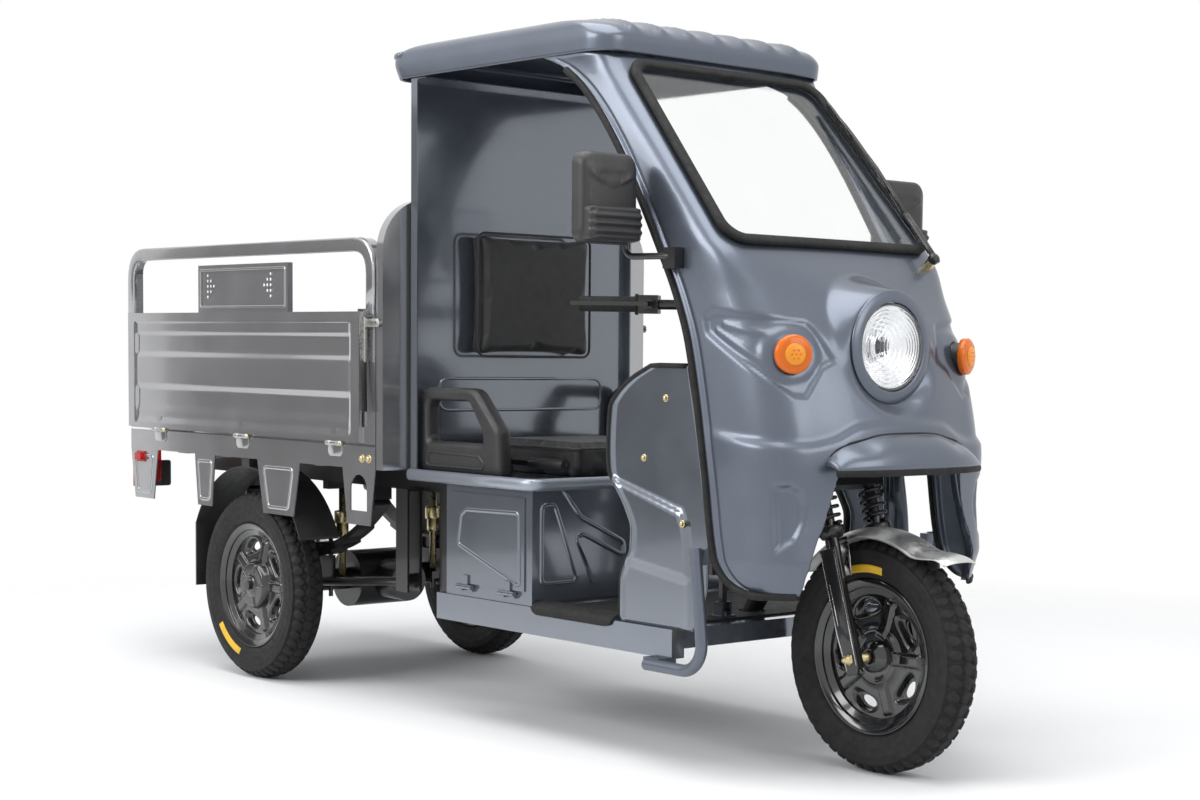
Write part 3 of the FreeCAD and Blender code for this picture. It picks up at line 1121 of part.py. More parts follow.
opening = screen_slab(value("seal_width")*0.6, 60, 120, 45)
seal_ring = screen_slab(0, -value("bead_gap"), value("seal_thick"),
                        60).cut(screen_slab(value("seal_width"), -10, 60, 40))
glass = screen_slab(value("seal_width")*0.6 + value("screen_margin"), 6, value("glass_thick"), 46)
light_hole = Part.makeCylinder(value("headlight_radius + 1"), 300,
                               Vector(value("front_axle_x - 130"), 0, value("nose_z")), Vector(1, 0, 0))
arch_width = value("arch_half")
arch = Part.makeBox(500, 2*arch_width, value("brow_z"),
                    Vector(value("front_axle_x - 150"), -arch_width, -5))
turn_ways = [Vector(cos(radians(value("turn_angle"))), side*sin(radians(value("turn_angle"))), 0)
             for side in SIDES]
turn_spots = [Vector(value("front_axle_x + nose_front - 44"), side*value("turn_side"), value("nose_z - 18"))
              for side in SIDES]
lamp_holes = [Part.makeCylinder(value("lamp_bore"), 200, spot - way*100, way) for spot,
              way in zip(turn_spots, turn_ways)]
pivot_place = screen_foot + Vector(0, value("wiper_side"), 0) - screen_way*34
barrel_hole = Part.makeCylinder(value("barrel_radius + bead_gap"), 120, pivot_place - screen_out*70,
                                screen_out)
skin = fairing_solid.cut([fairing_core, opening, light_hole, arch, barrel_hole, *lamp_holes])
node("front_fairing", solid(skin))
node("windscreen", solid(glass.common(fairing_solid.fuse(opening))))
seal = solid(seal_ring.cut(fairing_solid))


def trim_rail(side):
    """The rubber edge on one trailing edge of the fairing."""
    wires = []
    width = value("trim_width")
    for level, _, _, _, _, edge, reach in sections:
        corners = [Vector(edge - width, side*(reach - width), level),
                   Vector(edge - 0.3, side*(reach - width), level),
                   Vector(edge - 0.3, side*(reach + 1), level),
                   Vector(edge - width, side*(reach + 1), level)]
        wires.append(Part.makePolygon(corners + corners[:1]))
    return Part.makeLoft(wires, True, True)


trims = [solid(trim_rail(side)) for side in SIDES]

# Visor over the front wheel and its rubber strip
visor_half, visor_low = value("visor_half"), value("visor_low")
front_x = value("front_axle_x")
visor_rise, visor_front = value("visor_rise"), value("visor_front")
nose_back = value("front_axle_x - 60")


def visor_block(inset, drop):
    levels = []
    for up, reach, half in ((0, 1, 1), (0.35, 0.93, 0.93), (0.7, 0.7, 0.75), (0.95, 0.35, 0.5)):
        rise = visor_low + up*visor_rise - (drop if up == 0 else 0)
        levels.append((rise, nose_back, front_x + visor_front*reach - inset, inset - visor_half*half,
                       visor_half*half - inset, 45))
    return stack(levels)


visor = visor_block(0, 0).cut([visor_block(value("panel"), 2), fairing_solid])
node("wheel_visor", solid(max(visor.Solids, key=lambda part: part.Volume)))
strip_ring = Part.Face(rounded_ring(visor_low - value("strip_height"), nose_back, front_x + visor_front,
                                    -visor_half, visor_half, 45))
strip_hole = Part.Face(rounded_ring(visor_low - value("strip_height"), nose_back - 9,
                                    front_x + visor_front - value("strip_thick"),
                                    value("strip_thick") - visor_half, visor_half - value("strip_thick"),
                                    40))
strip_wall = strip_ring.cut(strip_hole).extrude(Vector(0, 0, value("strip_height")))
strip_cut = Part.makeBox(400, 2000, 100, Vector(value("front_axle_x - 400 + 72"), -1000, visor_low - 60))
node("rubber_trims", group(seal, *trims, solid(strip_wall.cut([strip_cut, fairing_solid]))))

# Roof: a shallow pressed lid with a curled rear lip and flutes along its front
roof_low, roof_high = value("roof_z"), value("roof_height")
roof_back, roof_tip, roof_half = value("roof_rear_x"), value("roof_front_x"), value("cab_half")


def roof_block(inset, drop):
    levels = []
    for up, back, tip, side, corner in ((0, 5, 0, 0, 60), (0.4, 0, 14, -2, 60), (0.78, 26, 60, 20, 80),
                                        (1, 110, 165, 80, 100)):
        rise = roof_low + up*roof_high - (inset if up == 1 else 0) - (drop if up == 0 else 0)
        half = roof_half - side - inset
        levels.append((rise, roof_back + back + inset, roof_tip - tip - inset, -half, half, corner))
    return stack(levels)


lip_z = roof_low + roof_high*0.45
lip = Part.makeCylinder(value("lip_radius"), 2*(roof_half - 50),
                        Vector(roof_back - 2, 50 - roof_half, lip_z), Vector(0, 1, 0))
flutes = []
for index in range(7):
    across = (index - 3)*roof_half*0.24
    flutes.append(Part.makeCone(16, 30, 260, Vector(roof_tip - 400, across, roof_low + roof_high - 22),
                                Vector(1, 0, -0.06)))
roof_skin = roof_block(0, 0).fuse([lip, *flutes]).cut(roof_block(value("panel"), 2))
flange = value("roof_flange")
flange_half = roof_half - flange
flange_plate = roof_block(0, 0).common(Part.makeBox(2*roof_tip - 2*roof_back, 2*roof_half, value("panel"),
                                                    Vector(roof_back - 100, -roof_half, roof_low)))
flange_hole = Part.Face(rounded_ring(roof_low - 1, value("wall_x") + flange, roof_tip - 2*flange,
                                     -flange_half, flange_half, flange))
roof_skin = roof_skin.fuse(flange_plate.cut(flange_hole.extrude(Vector(0, 0, 10))))
node("roof_panel", solid(max(roof_skin.Solids, key=lambda part: part.Volume)))

# Rear wall, leg shields and dash panel
wall_half = "(cab_half - 8)"
wall = [box("wall_x", "wall_x + panel", f"0 - {wall_half}", wall_half, "deck_z - deck_thick",
            "top_of_screen_z")]
for side in SIDES:
    low, high = (f"0 - {wall_half}", f"4 - {wall_half}") if side < 0 else (f"{wall_half} - 4", wall_half)
    wall.append(box("wall_x", "wall_x + 26", low, high, "deck_z", "top_of_screen_z"))
wall.append(box("wall_x - 1", "wall_x + 60", f"0 - {wall_half}", wall_half, "top_of_screen_z - 3",
                "top_of_screen_z"))
node("cab_rear_wall", fuse(*wall))
shield_x0 = "(front_axle_x - shield_back)"
shield = plate("XZ_Plane", [(f"{shield_x0} + 45", "foot_z"), (f"{shield_x0} + 20", "foot_z + 80"),
                            (f"{shield_x0} + 45", "foot_z + 150"),
                            (f"{shield_x0}", "foot_z + 260"), (f"{shield_x0}", "shield_top - 110"),
                            (f"{shield_x0} + 130", "shield_top"),
                            ("front_axle_x - 262", "shield_top"), ("front_axle_x - 215", "brow_z"),
                            ("front_axle_x - 190", "cheek_z"),
                            ("front_axle_x - 190", "cheek_z - 70"), ("floor_front_x", "foot_z")], "panel*2")
place(shield, "0", "panel - shield_out", "0")
lining = Part.makeLoft([shell_ring(section, value("panel + bead_gap"), 120) for section in inside], True,
                       True)
tab_block = Part.makeBox(90, value("cab_half - shield_out + panel*2"), 60,
                         Vector(value("front_axle_x - 230"), -value("cab_half"), value("brow_z - 15")))
tab_step = Part.makeBox(50, 100, 60,
                        Vector(value("front_axle_x - 230"), -value("shield_out") - 100,
                               value("brow_z - 15")))
shield = fuse(shield, solid(tab_block.common(lining).cut(tab_step)))
dash = box("dash_x", "dash_x + panel", "0 - cab_half + 22", "cab_half - 22", "foot_z", "dash_top")
node("leg_shields", group(shield, mirror(shield), cut(dash, solid(tube_way))))

# Headlight and turn lamps
bowl = turned([("0", "0 - headlight_depth"), ("headlight_radius*0.5", "0 - headlight_depth"),
               ("headlight_radius*0.97", "-14"), ("headlight_radius", "-14"),
               ("headlight_radius", "0"), ("headlight_radius - lens_wall", "0"),
               ("headlight_radius - lens_wall", "-12"),
               ("headlight_radius*0.45", "8 - headlight_depth"), ("0", "8 - headlight_depth")])
headlight = place(bowl, "front_axle_x + nose_front + 4", "0", "nose_z", Rotation(Vector(0, 0, 1), -90))
lens = turned([("0", "lens_dome"), ("headlight_radius*0.5", "lens_dome*0.8"),
               ("headlight_radius*0.85", "lens_dome*0.35"), ("headlight_radius", "0.3"),
               ("headlight_radius - lens_wall", "0.3"),
               ("headlight_radius*0.8", "lens_dome*0.35 - lens_wall*0.5"),
               ("headlight_radius*0.5", "lens_dome*0.8 - lens_wall"), ("0", "lens_dome - lens_wall")])
node("headlight_lens", place(lens, "front_axle_x + nose_front + 4", "0", "nose_z",
                             Rotation(Vector(0, 0, 1), -90)))


def lamp_turn(index):
    side = SIDES[index]
    return Rotation(Vector(0, 0, 1), -90 + side*value("turn_angle"))


cups, domes = [], []
for index, spot in enumerate(turn_spots):
    cup = turned([("0", "0 - turn_depth"), ("lamp_bore - 1", "0 - turn_depth"), ("lamp_bore - 1", "1"),
                  ("turn_radius", "3"), ("turn_radius", "15"),
                  ("turn_radius - 5", "17"), ("turn_radius - 5", "7"), ("lamp_bore - 6", "5"),
                  ("lamp_bore - 6", "4 - turn_depth"), ("0", "4 - turn_depth")])
    cup.Placement = Placement(spot + turn_ways[index]*15, lamp_turn(index))
    cups.append(cup)
    dome = turned([("0", "24"), ("turn_radius*0.5", "22"), ("turn_radius - 5.3", "15"),
                   ("turn_radius - 5.3", "7.3"), ("lamp_bore - 4", "7.3"), ("turn_radius*0.5", "18"),
                   ("0", "20")])
    dome.Placement = Placement(spot + turn_ways[index]*15, lamp_turn(index))
    domes.append(dome)
node("lamp_housings", group(headlight, *cups))
node("turn_lenses", group(*domes))

# Crash bars beside the floor
rails = []
for side in SIDES:
    out = side*value("crash_side + crash_radius")
    top = Vector(value("front_axle_x - 190"), out, value("cheek_z + 15"))
    low = Vector(value("front_axle_x - 160"), out, value("floor_rail_z - 15"))
    rear = Vector(value("floor_front_x - 60"), out, value("floor_rail_z - 15"))
    tube = solid(bent_tube([top, low, rear], value("crash_radius"), 60))
    feet = [box("floor_front_x - 70", "floor_front_x - 20",
                "0 - crash_side - crash_radius" if side < 0 else "cab_half - 30",
                "30 - cab_half" if side < 0 else "crash_side + crash_radius", "floor_rail_z - 24",
                "floor_rail_z"),
            box("front_axle_x - 200", "front_axle_x - 178",
                "0 - crash_side - crash_radius" if side < 0 else "shield_out",
                "0 - shield_out" if side < 0 else "crash_side + crash_radius", "cheek_z - 20",
                "cheek_z + 12")]
    rails.append(fuse(tube, *feet))
node("crash_bars", group(*rails))

# Brake pedal on the floor
pedal_x, pedal_z = "(dash_x - 70)", "(foot_z + 26)"
foot_ears = [box(f"{pedal_x} - 14", f"{pedal_x} + 14", f"{side}*11 - pedal_side - 3",
                 f"{side}*11 - pedal_side + 3", "foot_z + mat_thick", f"{pedal_z} + 12") for side in SIDES]
foot_base = box(f"{pedal_x} - 20", f"{pedal_x} + 20", "0 - pedal_side - 22", "22 - pedal_side",
                "foot_z + mat_thick", "foot_z + mat_thick + 4")
foot_pin = rod("Y", "pin_radius", (pedal_x, pedal_z), "0 - pedal_side - 14", "14 - pedal_side")
node("floor_pan", cut(fuse(*pan, *support, foot_base, *foot_ears, foot_pin), solid(tube_way)))
pedal = fuse(rod("Y", "11", (pedal_x, pedal_z), "0 - pedal_side - 7", "7 - pedal_side"),
             box(f"{pedal_x} - 6", f"{pedal_x} + 6", "0 - pedal_side - 7", "7 - pedal_side", pedal_z,
                 f"{pedal_z} + pedal_length"),
             box(f"{pedal_x} - 14", f"{pedal_x} + 2", "0 - pedal_side - 34", "34 - pedal_side",
                 f"{pedal_z} + pedal_length - 58", f"{pedal_z} + pedal_length"))
node("brake_pedal", cut(pedal,
                        rod("Y", "pin_radius + running_gap", (pedal_x, pedal_z), "0 - pedal_side - 9",
                            "9 - pedal_side")))

# Mirrors on posts beside the pillars
arms, heads = [], []
post_x, post_y = "mirror_x + mirror_depth*0.5", "(mirror_half - mirror_width + mirror_post)"
head_z = "(mirror_top - mirror_height)"
case = rounded(box("mirror_x", "mirror_x + mirror_depth", "0 - mirror_half", "mirror_width - mirror_half",
                   head_z, "mirror_top"), "20", along("X"))
socket = rod("Z", "mirror_arm_radius + running_gap", (post_x, f"0 - {post_y}"), f"{head_z} - 1",
             f"{head_z} + 60")
right_mirror = node("mirror_right", cut(case, socket))
node("mirror_left", mirror(right_mirror))
foot_x = value("front_axle_x - 330")
arm_points = [Vector(value(post_x), -value(post_y), value(f"{head_z} + 59")),
              Vector(value(post_x), -value(post_y), value(f"{head_z} - 24")),
              Vector(foot_x + 50, -value("cab_half") - 16, value(f"{head_z} - 24"))]
arm = solid(bent_tube(arm_points, value("mirror_arm_radius"), 20))
arm_foot = box("front_axle_x - 300", "front_axle_x - 262", "0 - cab_half - 24", "0 - cab_half - 0.3",
               f"{head_z} - 50", f"{head_z} - 6")
node("mirror_arms", pair(fuse(arm, arm_foot)))

# Wiper: pivot below the screen's left corner, arm and blade parked along the left pillar
barrel = Part.makeCylinder(value("barrel_radius"), value("wiper_lift") + 40, pivot_place - screen_out*40,
                           screen_out)
shaft = Part.makeCylinder(value("pin_radius"), value("wiper_lift") + 12, pivot_place, screen_out)
node("wiper_drive", solid(barrel.fuse([shaft])))


def wiper_bar(start, length, width, low, high):
    """A straight bar over the screen, from a place along it, between two heights above it."""
    corner = pivot_place + screen_way*start + screen_out*low - Vector(0, width/2, 0)
    face = Part.makePolygon([corner, corner + Vector(0, width, 0),
                             corner + Vector(0, width, 0) + screen_way*length, corner + screen_way*length,
                             corner])
    return Part.Face(face).extrude(screen_out*(high - low))


lift = value("wiper_lift")
reach = value("wiper_length")
wiper = wiper_bar(-12, reach*0.62, value("wiper_width"), lift + 1, lift + 9)
wiper = wiper.fuse([wiper_bar(reach*0.2, reach*0.8, value("wiper_width")*0.8, lift - 1, lift + 3)])
wiper = wiper.cut(Part.makeCylinder(value("pin_radius + running_gap"), 60, pivot_place, screen_out))
node("wiper_arm", solid(wiper))

# Bolts that show on the sills and leg shields
bolts = []
for spot in ("bed_front_x - 60", "bed_front_x - 30"):
    bolts.append(rod("Y", "6", (spot, "sill_low + sill_height*0.45"), "0 - bed_half - 5", "0 - bed_half"))
for spot in (("front_axle_x - 330", "shield_top - 70"), ("front_axle_x - 400", "shield_top - 200"),
             ("front_axle_x - 225", "cheek_z + 60")):
    bolts.append(rod("Y", "6", spot, "0 - shield_out - 5", "0 - shield_out"))
node("bolts", pair(group(*bolts)))

doc.recompute()
for item in doc.Objects:
    if "Invalid" in item.State or "Error" in item.State:
        raise RuntimeError(f"{item.Label} could not be built: {item.State}")
for item in NODES:
    if item.Shape.isNull() or not item.Shape.isValid() or not item.Shape.Solids:
        raise RuntimeError(f"{item.Label} is not a sound solid")

os.makedirs("parts", exist_ok=True)
for item in NODES:
    item.Shape.exportStep(f"parts/{item.Label}.step")
print(len(NODES), "nodes")
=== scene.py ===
from math import atan2, cos, exp, hypot, pi, radians, sin, sqrt, tan

import bmesh
import bpy
from mathutils import Matrix, Vector


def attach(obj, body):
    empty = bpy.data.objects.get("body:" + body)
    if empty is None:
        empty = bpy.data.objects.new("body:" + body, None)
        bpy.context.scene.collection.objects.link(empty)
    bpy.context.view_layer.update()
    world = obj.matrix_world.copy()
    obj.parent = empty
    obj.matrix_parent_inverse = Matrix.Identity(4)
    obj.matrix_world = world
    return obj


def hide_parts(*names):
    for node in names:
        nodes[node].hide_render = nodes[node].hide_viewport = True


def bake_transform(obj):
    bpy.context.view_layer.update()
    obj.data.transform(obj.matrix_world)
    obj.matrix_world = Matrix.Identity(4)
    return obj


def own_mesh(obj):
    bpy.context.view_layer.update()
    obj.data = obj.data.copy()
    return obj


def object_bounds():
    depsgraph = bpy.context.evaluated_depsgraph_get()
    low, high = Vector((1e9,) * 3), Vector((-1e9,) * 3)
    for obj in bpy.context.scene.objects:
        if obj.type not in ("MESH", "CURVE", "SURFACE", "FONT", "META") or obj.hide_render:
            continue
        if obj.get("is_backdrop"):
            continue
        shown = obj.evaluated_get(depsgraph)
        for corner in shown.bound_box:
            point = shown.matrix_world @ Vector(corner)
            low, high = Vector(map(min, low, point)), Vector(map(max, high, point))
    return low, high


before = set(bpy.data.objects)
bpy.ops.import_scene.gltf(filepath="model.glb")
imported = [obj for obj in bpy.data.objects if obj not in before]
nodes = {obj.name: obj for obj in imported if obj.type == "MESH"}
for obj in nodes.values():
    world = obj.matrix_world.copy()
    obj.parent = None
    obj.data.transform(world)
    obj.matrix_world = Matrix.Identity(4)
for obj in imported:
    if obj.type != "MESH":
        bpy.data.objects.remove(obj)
cad_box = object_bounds()
scene = bpy.context.scene
scene.view_settings.view_transform = "Standard"

# Sizes shared with the solids, in metres
REAR_X, FRONT_X = -0.7725, 1.1875
BED_REAR, BED_FRONT, BED_HALF = -1.4175, -0.1375, 0.411
TYRE_R, TRACK, RAKE = 0.25, 0.712, radians(18)
WALL_X, SEAT_FRONT = -0.0955, 0.4045
SIDES = ((-1, "right"), (1, "left"))
X, Y, Z = Vector((1, 0, 0)), Vector((0, 1, 0)), Vector((0, 0, 1))

# Camera of the photograph: its place in metres, its lens in the photograph's pixels
EYE, YAW, PITCH, ROLL = Vector((4.2442, -3.22615, 0.8938)), radians(46.29), radians(4.03), radians(0.82)
PHOTO_WIDTH, PHOTO_HEIGHT, SENSOR = 1200, 800, 36
FOCAL, CENTRE_X, CENTRE_Y = 2092.3, 780.6, 499.6


def mm(*rows):
    """Rows of millimetres as tuples of metres."""
    return [tuple(number/1000 for number in row) for row in rows]


def aim_camera():
    ahead = Vector((-sin(YAW)*cos(PITCH), cos(YAW)*cos(PITCH), -sin(PITCH)))
    right = Vector((cos(YAW), sin(YAW), 0))
    up = right.cross(ahead)
    right, up = right*cos(ROLL) + up*sin(ROLL), up*cos(ROLL) - right*sin(ROLL)
    data = bpy.data.cameras.new("camera")
    data.sensor_width = SENSOR
    data.lens = FOCAL*SENSOR/PHOTO_WIDTH
    data.shift_x = (PHOTO_WIDTH/2 - CENTRE_X)/PHOTO_WIDTH
    data.shift_y = (CENTRE_Y - PHOTO_HEIGHT/2)/PHOTO_WIDTH
    camera = bpy.data.objects.new("camera", data)
    camera.matrix_world = Matrix.Translation(EYE) @ Matrix((right, up, -ahead)).transposed().to_4x4()
    scene.collection.objects.link(camera)
    scene.camera = camera


aim_camera()


# Node-based materials
def add_node(tree, kind, sockets, output, operation=None):
    """A new node's output; each socket is given a value or a link from another output."""
    node = tree.nodes.new("ShaderNode" + kind)
    if operation:
        node.operation = operation
    for key, entry in sockets.items():
        if isinstance(entry, bpy.types.NodeSocket):
            tree.links.new(entry, node.inputs[key])
        else:
            node.inputs[key].default_value = entry
    return node.outputs[output]


class Shader:
    """A Principled material with the few nodes that all the finishes here share."""

    def __init__(self, name, **sockets):
        self.material = bpy.data.materials.new(name)
        self.material.use_nodes = True
        self.tree = self.material.node_tree
        self.surface = self.tree.nodes["Principled BSDF"]
        self.place = add_node(self.tree, "TexCoord", {}, "Object")
        for key, number in sockets.items():
            self.surface.inputs[key.replace("_", " ")].default_value = number

    def noise(self, scale, detail, stretch=None):
        place = self.place
        if stretch:
            place = add_node(self.tree, "Mapping", {"Scale": stretch, "Vector": place}, "Vector")
        return add_node(self.tree, "TexNoise", {"Scale": scale, "Detail": detail, "Vector": place}, "Fac")

    def cells(self, scale):
        return add_node(self.tree, "TexVoronoi", {"Scale": scale, "Vector": self.place}, "Distance")

    def feed(self, socket, output):
        self.tree.links.new(output, self.surface.inputs[socket])

    def drift(self, socket, source, low, high, start=0.3, stop=0.7):
        ends = {"From Min": start, "From Max": stop, "To Min": low, "To Max": high}
        self.feed(socket, add_node(self.tree, "MapRange", {"Value": source, **ends}, "Result"))

    def tint(self, source, colour, dark, light, start=0.3, stop=0.7):
        node = self.tree.nodes.new("ShaderNodeValToRGB")
        for element, place, share in zip(node.color_ramp.elements, (start, stop), (dark, light)):
            element.position = place
            element.color = (*(min(1, c*share) for c in colour), 1)
        self.tree.links.new(source, node.inputs["Fac"])
        self.feed("Base Color", node.outputs["Color"])

    def bump(self, source, strength, distance):
        sockets = {"Strength": strength, "Distance": distance, "Height": source}
        self.feed("Normal", add_node(self.tree, "Bump", sockets, "Normal"))


def paint(name, colour, metallic, rough, coat, flake=0.18):
    """Metallic paint: fine flakes, slow drift of tone, orange peel and a clear coat."""
    shader = Shader(name, Metallic=metallic, Coat_Weight=coat, Coat_Roughness=0.06)
    shader.tint(shader.noise(1400, 1.0), colour, 1 - flake, 1 + flake)
    shader.drift("Roughness", shader.noise(9, 5.0), rough - 0.04, rough + 0.05)
    shader.bump(shader.noise(260, 1.0), 0.012, 0.0006)
    return shader.material


def plastic(name, colour, rough=0.45, grain=900, depth=0.12):
    """Moulded plastic with an eroded grain."""
    shader = Shader(name)
    shader.tint(shader.noise(14, 5.0), colour, 0.8, 1.25)
    shader.drift("Roughness", shader.noise(60, 4.0), rough - 0.08, rough + 0.1)
    shader.bump(shader.cells(grain), depth, 0.0006)
    return shader.material


def rubber(name, colour, rough=0.7):
    """Rubber with dust that lightens it in patches."""
    shader = Shader(name, Specular_IOR_Level=0.3)
    shader.tint(shader.noise(22, 6.0), colour, 1, 1.8, 0.35, 0.8)
    shader.drift("Roughness", shader.noise(80, 4.0), rough - 0.1, rough + 0.12)
    shader.bump(shader.noise(700, 3.0), 0.15, 0.0008)
    return shader.material


def metal(name, colour, rough, stretch=(1, 1, 1), light=1.1):
    """Bare or plated metal with faint brushing."""
    shader = Shader(name, Metallic=1.0)
    shader.tint(shader.noise(9, 4.0), colour, 0.9, light)
    shader.drift("Roughness", shader.noise(120, 4.0, stretch), max(0.02, rough - 0.08), rough + 0.1)
    shader.bump(shader.noise(300, 2.0, stretch), 0.02, 0.0004)
    return shader.material


def clear(name, colour, rough=0.03, transmission=1.0):
    """Glass or clear plastic with a faint haze."""
    shader = Shader(name, Transmission_Weight=transmission, IOR=1.45)
    shader.tint(shader.noise(6, 3.0), colour, 0.97, 1)
    shader.drift("Roughness", shader.noise(30, 4.0), rough*0.5, rough*1.6)
    return shader.material


def vinyl(name, colour):
    """Black seat vinyl: pebbled grain and a soft sheen."""
    shader = Shader(name, Sheen_Weight=0.15, Specular_IOR_Level=0.4)
    shader.tint(shader.noise(10, 5.0), colour, 0.75, 1.4)
    shader.drift("Roughness", shader.noise(45, 4.0), 0.42, 0.6)
    shader.bump(shader.cells(420), 0.25, 0.0008)
    return shader.material


cab_paint = paint("cab_paint", (0.118, 0.136, 0.171), 0.72, 0.36, 0.35)
bed_paint = paint("bed_paint", (0.390, 0.393, 0.405), 0.80, 0.17, 0.8, 0.06)
steel_paint = paint("steel_paint", (0.165, 0.184, 0.216), 0.70, 0.15, 0.8, 0.06)
deck_paint = paint("deck_paint", (0.30, 0.33, 0.38), 0.6, 0.36, 0.3)
black_paint = paint("black_paint", (0.012, 0.012, 0.013), 0.1, 0.32, 0.5)
gloss_paint = paint("gloss_paint", (0.010, 0.010, 0.011), 0.0, 0.16, 0.8)
black_plastic = plastic("black_plastic", (0.022, 0.022, 0.023))
gloss_black = plastic("gloss_black", (0.016, 0.016, 0.017), 0.28, 1400, 0.03)
smoked = plastic("smoked", (0.055, 0.060, 0.070), 0.2, 900, 0.02)
hole_white = plastic("hole_white", (0.80, 0.80, 0.80))
label_yellow = plastic("label_yellow", (0.72, 0.43, 0.03), 0.4, 300, 0.02)
amber_bright = plastic("amber_bright", (0.95, 0.31, 0.008), 0.25, 500, 0.02)
black_rubber = rubber("black_rubber", (0.010, 0.010, 0.010))
tyre_rubber = rubber("tyre_rubber", (0.0105, 0.0102, 0.0100), 0.66)
seat_vinyl = vinyl("seat_vinyl", (0.014, 0.014, 0.015))
polished = metal("polished", (0.74, 0.74, 0.73), 0.12)
yellow_zinc = metal("yellow_zinc", (0.60, 0.50, 0.28), 0.30)
hinge_zinc = metal("hinge_zinc", (0.50, 0.50, 0.47), 0.28)
brushed = metal("brushed", (0.62, 0.61, 0.60), 0.27, (1, 14, 1))
fender_steel = metal("fender_steel", (0.66, 0.66, 0.65), 0.38, (1, 1, 1), 0.98)
silver = metal("silver", (0.66, 0.66, 0.66), 0.25)
reflector = metal("reflector", (0.90, 0.90, 0.91), 0.16)
mirror_glass = metal("mirror_glass", (0.80, 0.82, 0.84), 0.06)
glass = clear("glass", (0.96, 0.985, 0.975))
lamp_glass = clear("lamp_glass", (0.97, 0.98, 0.99), 0.06)
amber = clear("amber", (0.98, 0.21, 0.004), 0.12, 0.30)
red_lens = clear("red_lens", (0.75, 0.02, 0.02), 0.12, 0.5)

FINISH = {
    cab_paint: "front_fairing roof_panel wheel_visor crash_bars",
    steel_paint: "leg_shields cab_rear_wall seat_box seat_box_door floor_pan",
    bed_paint: "bed_frame side_gate_left side_gate_right tailgate headboard",
    black_paint: "chassis_frame rear_axle leaf_springs fork_legs fork_yokes fork_springs handlebar "
                 "mirror_arms front_rim rear_rim_left rear_rim_right brake_lever wiper_arm "
                 "parking_brake_lever brake_pedal gate_latch_left gate_latch_right",
    black_plastic: "mudguards control_pods instrument_display mirror_left mirror_right armrests "
                   "lamp_housings battery_packs horn_button",
    black_rubber: "floor_mat left_grip throttle_grip rubber_trims",
    tyre_rubber: "front_tyre rear_tyre_left rear_tyre_right",
    seat_vinyl: "seat_cushion backrest",
    polished: "front_mudguard",
    yellow_zinc: "gate_hinges bolts shock_absorbers headset_bearings wiper_drive",
    silver: "motor_controller",
    glass: "windscreen",
    lamp_glass: "headlight_lens",
    amber: "turn_lenses",
    red_lens: "rear_lamps",
}
for finish, names in FINISH.items():
    for name in names.split():
        nodes[name].data.materials.clear()
        nodes[name].data.materials.append(finish)

# Material slot of each finish that a piece wears
SLOTS = {
    "cab_paint": (cab_paint, steel_paint, deck_paint), "bed_paint": (bed_paint, hole_white),
    "black_paint": (black_paint, gloss_paint, gloss_black, silver), "rubber": (black_rubber,),
    "black_plastic": (black_plastic, mirror_glass), "tyre": (tyre_rubber, label_yellow),
    "polished": (fender_steel, brushed, reflector, smoked), "zinc": (yellow_zinc, hinge_zinc),
    "seat_cover": (seat_vinyl,), "glass": (lamp_glass,), "amber": (amber, amber_bright),
}
SLOT = {finish: slot for slot, finishes in SLOTS.items() for finish in finishes}


def bevel(item, width, segments, angle):
    tool = item.modifiers.new("edge", "BEVEL")
    tool.width = width
    tool.segments = segments
    tool.limit_method = "ANGLE"
    tool.angle_limit = radians(angle)
    return tool


# Soft edges on the pressed and welded solids that stay in view
SOFT_EDGES = {
    "bed_frame": 0.004, "side_gate_left": 0.003, "side_gate_right": 0.003, "tailgate": 0.003,
    "headboard": 0.004, "seat_box": 0.004, "seat_box_door": 0.001, "cab_rear_wall": 0.0012,
    "floor_pan": 0.004, "chassis_frame": 0.003, "rear_axle": 0.002, "mudguards": 0.001,
    "control_pods": 0.004, "instrument_display": 0.004,
}
for name, width in SOFT_EDGES.items():
    bevel(nodes[name], width, 3, 35).harden_normals = True


# Floor, backdrop light and lamps
def stage_sheet(name, corners, colour, scale, dark, light):
    """A matt sheet of the studio and its material."""
    data = bpy.data.meshes.new(name)
    data.from_pydata(corners, [], [(0, 1, 2, 3)])
    sheet = bpy.data.objects.new(name, data)
    scene.collection.objects.link(sheet)
    shader = Shader(name, Roughness=0.9)
    shader.tint(shader.noise(scale, 4.0), colour, dark, light)
    data.materials.append(shader.material)
    sheet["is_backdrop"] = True
    return shader


def build_floor():
    """A pale floor that fades out round the object."""
    corners = [(-30, -30, 0), (30, -30, 0), (30, 30, 0), (-30, 30, 0)]
    shader = stage_sheet("floor", corners, (1, 1, 1), 0.7, 0.86, 0.88)
    reach = add_node(shader.tree, "VectorMath", {0: shader.place}, "Value", "LENGTH")
    shader.drift("Alpha", reach, 1.0, 0.0, 1.7, 3.4)


def build_world():
    """Soft light on the object, with white in view, through glass and in reflections."""
    scene.world = bpy.data.worlds.new("world")
    scene.world.use_nodes = True
    tree = scene.world.node_tree
    sky = tree.nodes["Background"]
    sky.inputs["Color"].default_value = (0.93, 0.96, 1.0, 1)
    sky.inputs["Strength"].default_value = 0.56
    white = add_node(tree, "Background", {"Color": (1, 1, 1, 1), "Strength": 1.0}, "Background")
    rays = tree.nodes.new("ShaderNodeLightPath").outputs
    seen = rays["Is Camera Ray"]
    for ray in ("Is Transmission Ray", "Is Glossy Ray"):
        seen = add_node(tree, "Math", {0: seen, 1: rays[ray]}, "Value", "MAXIMUM")
    mix = add_node(tree, "MixShader", {"Fac": seen, 1: sky.outputs["Background"], 2: white}, "Shader")
    tree.links.new(mix, tree.nodes["World Output"].inputs["Surface"])


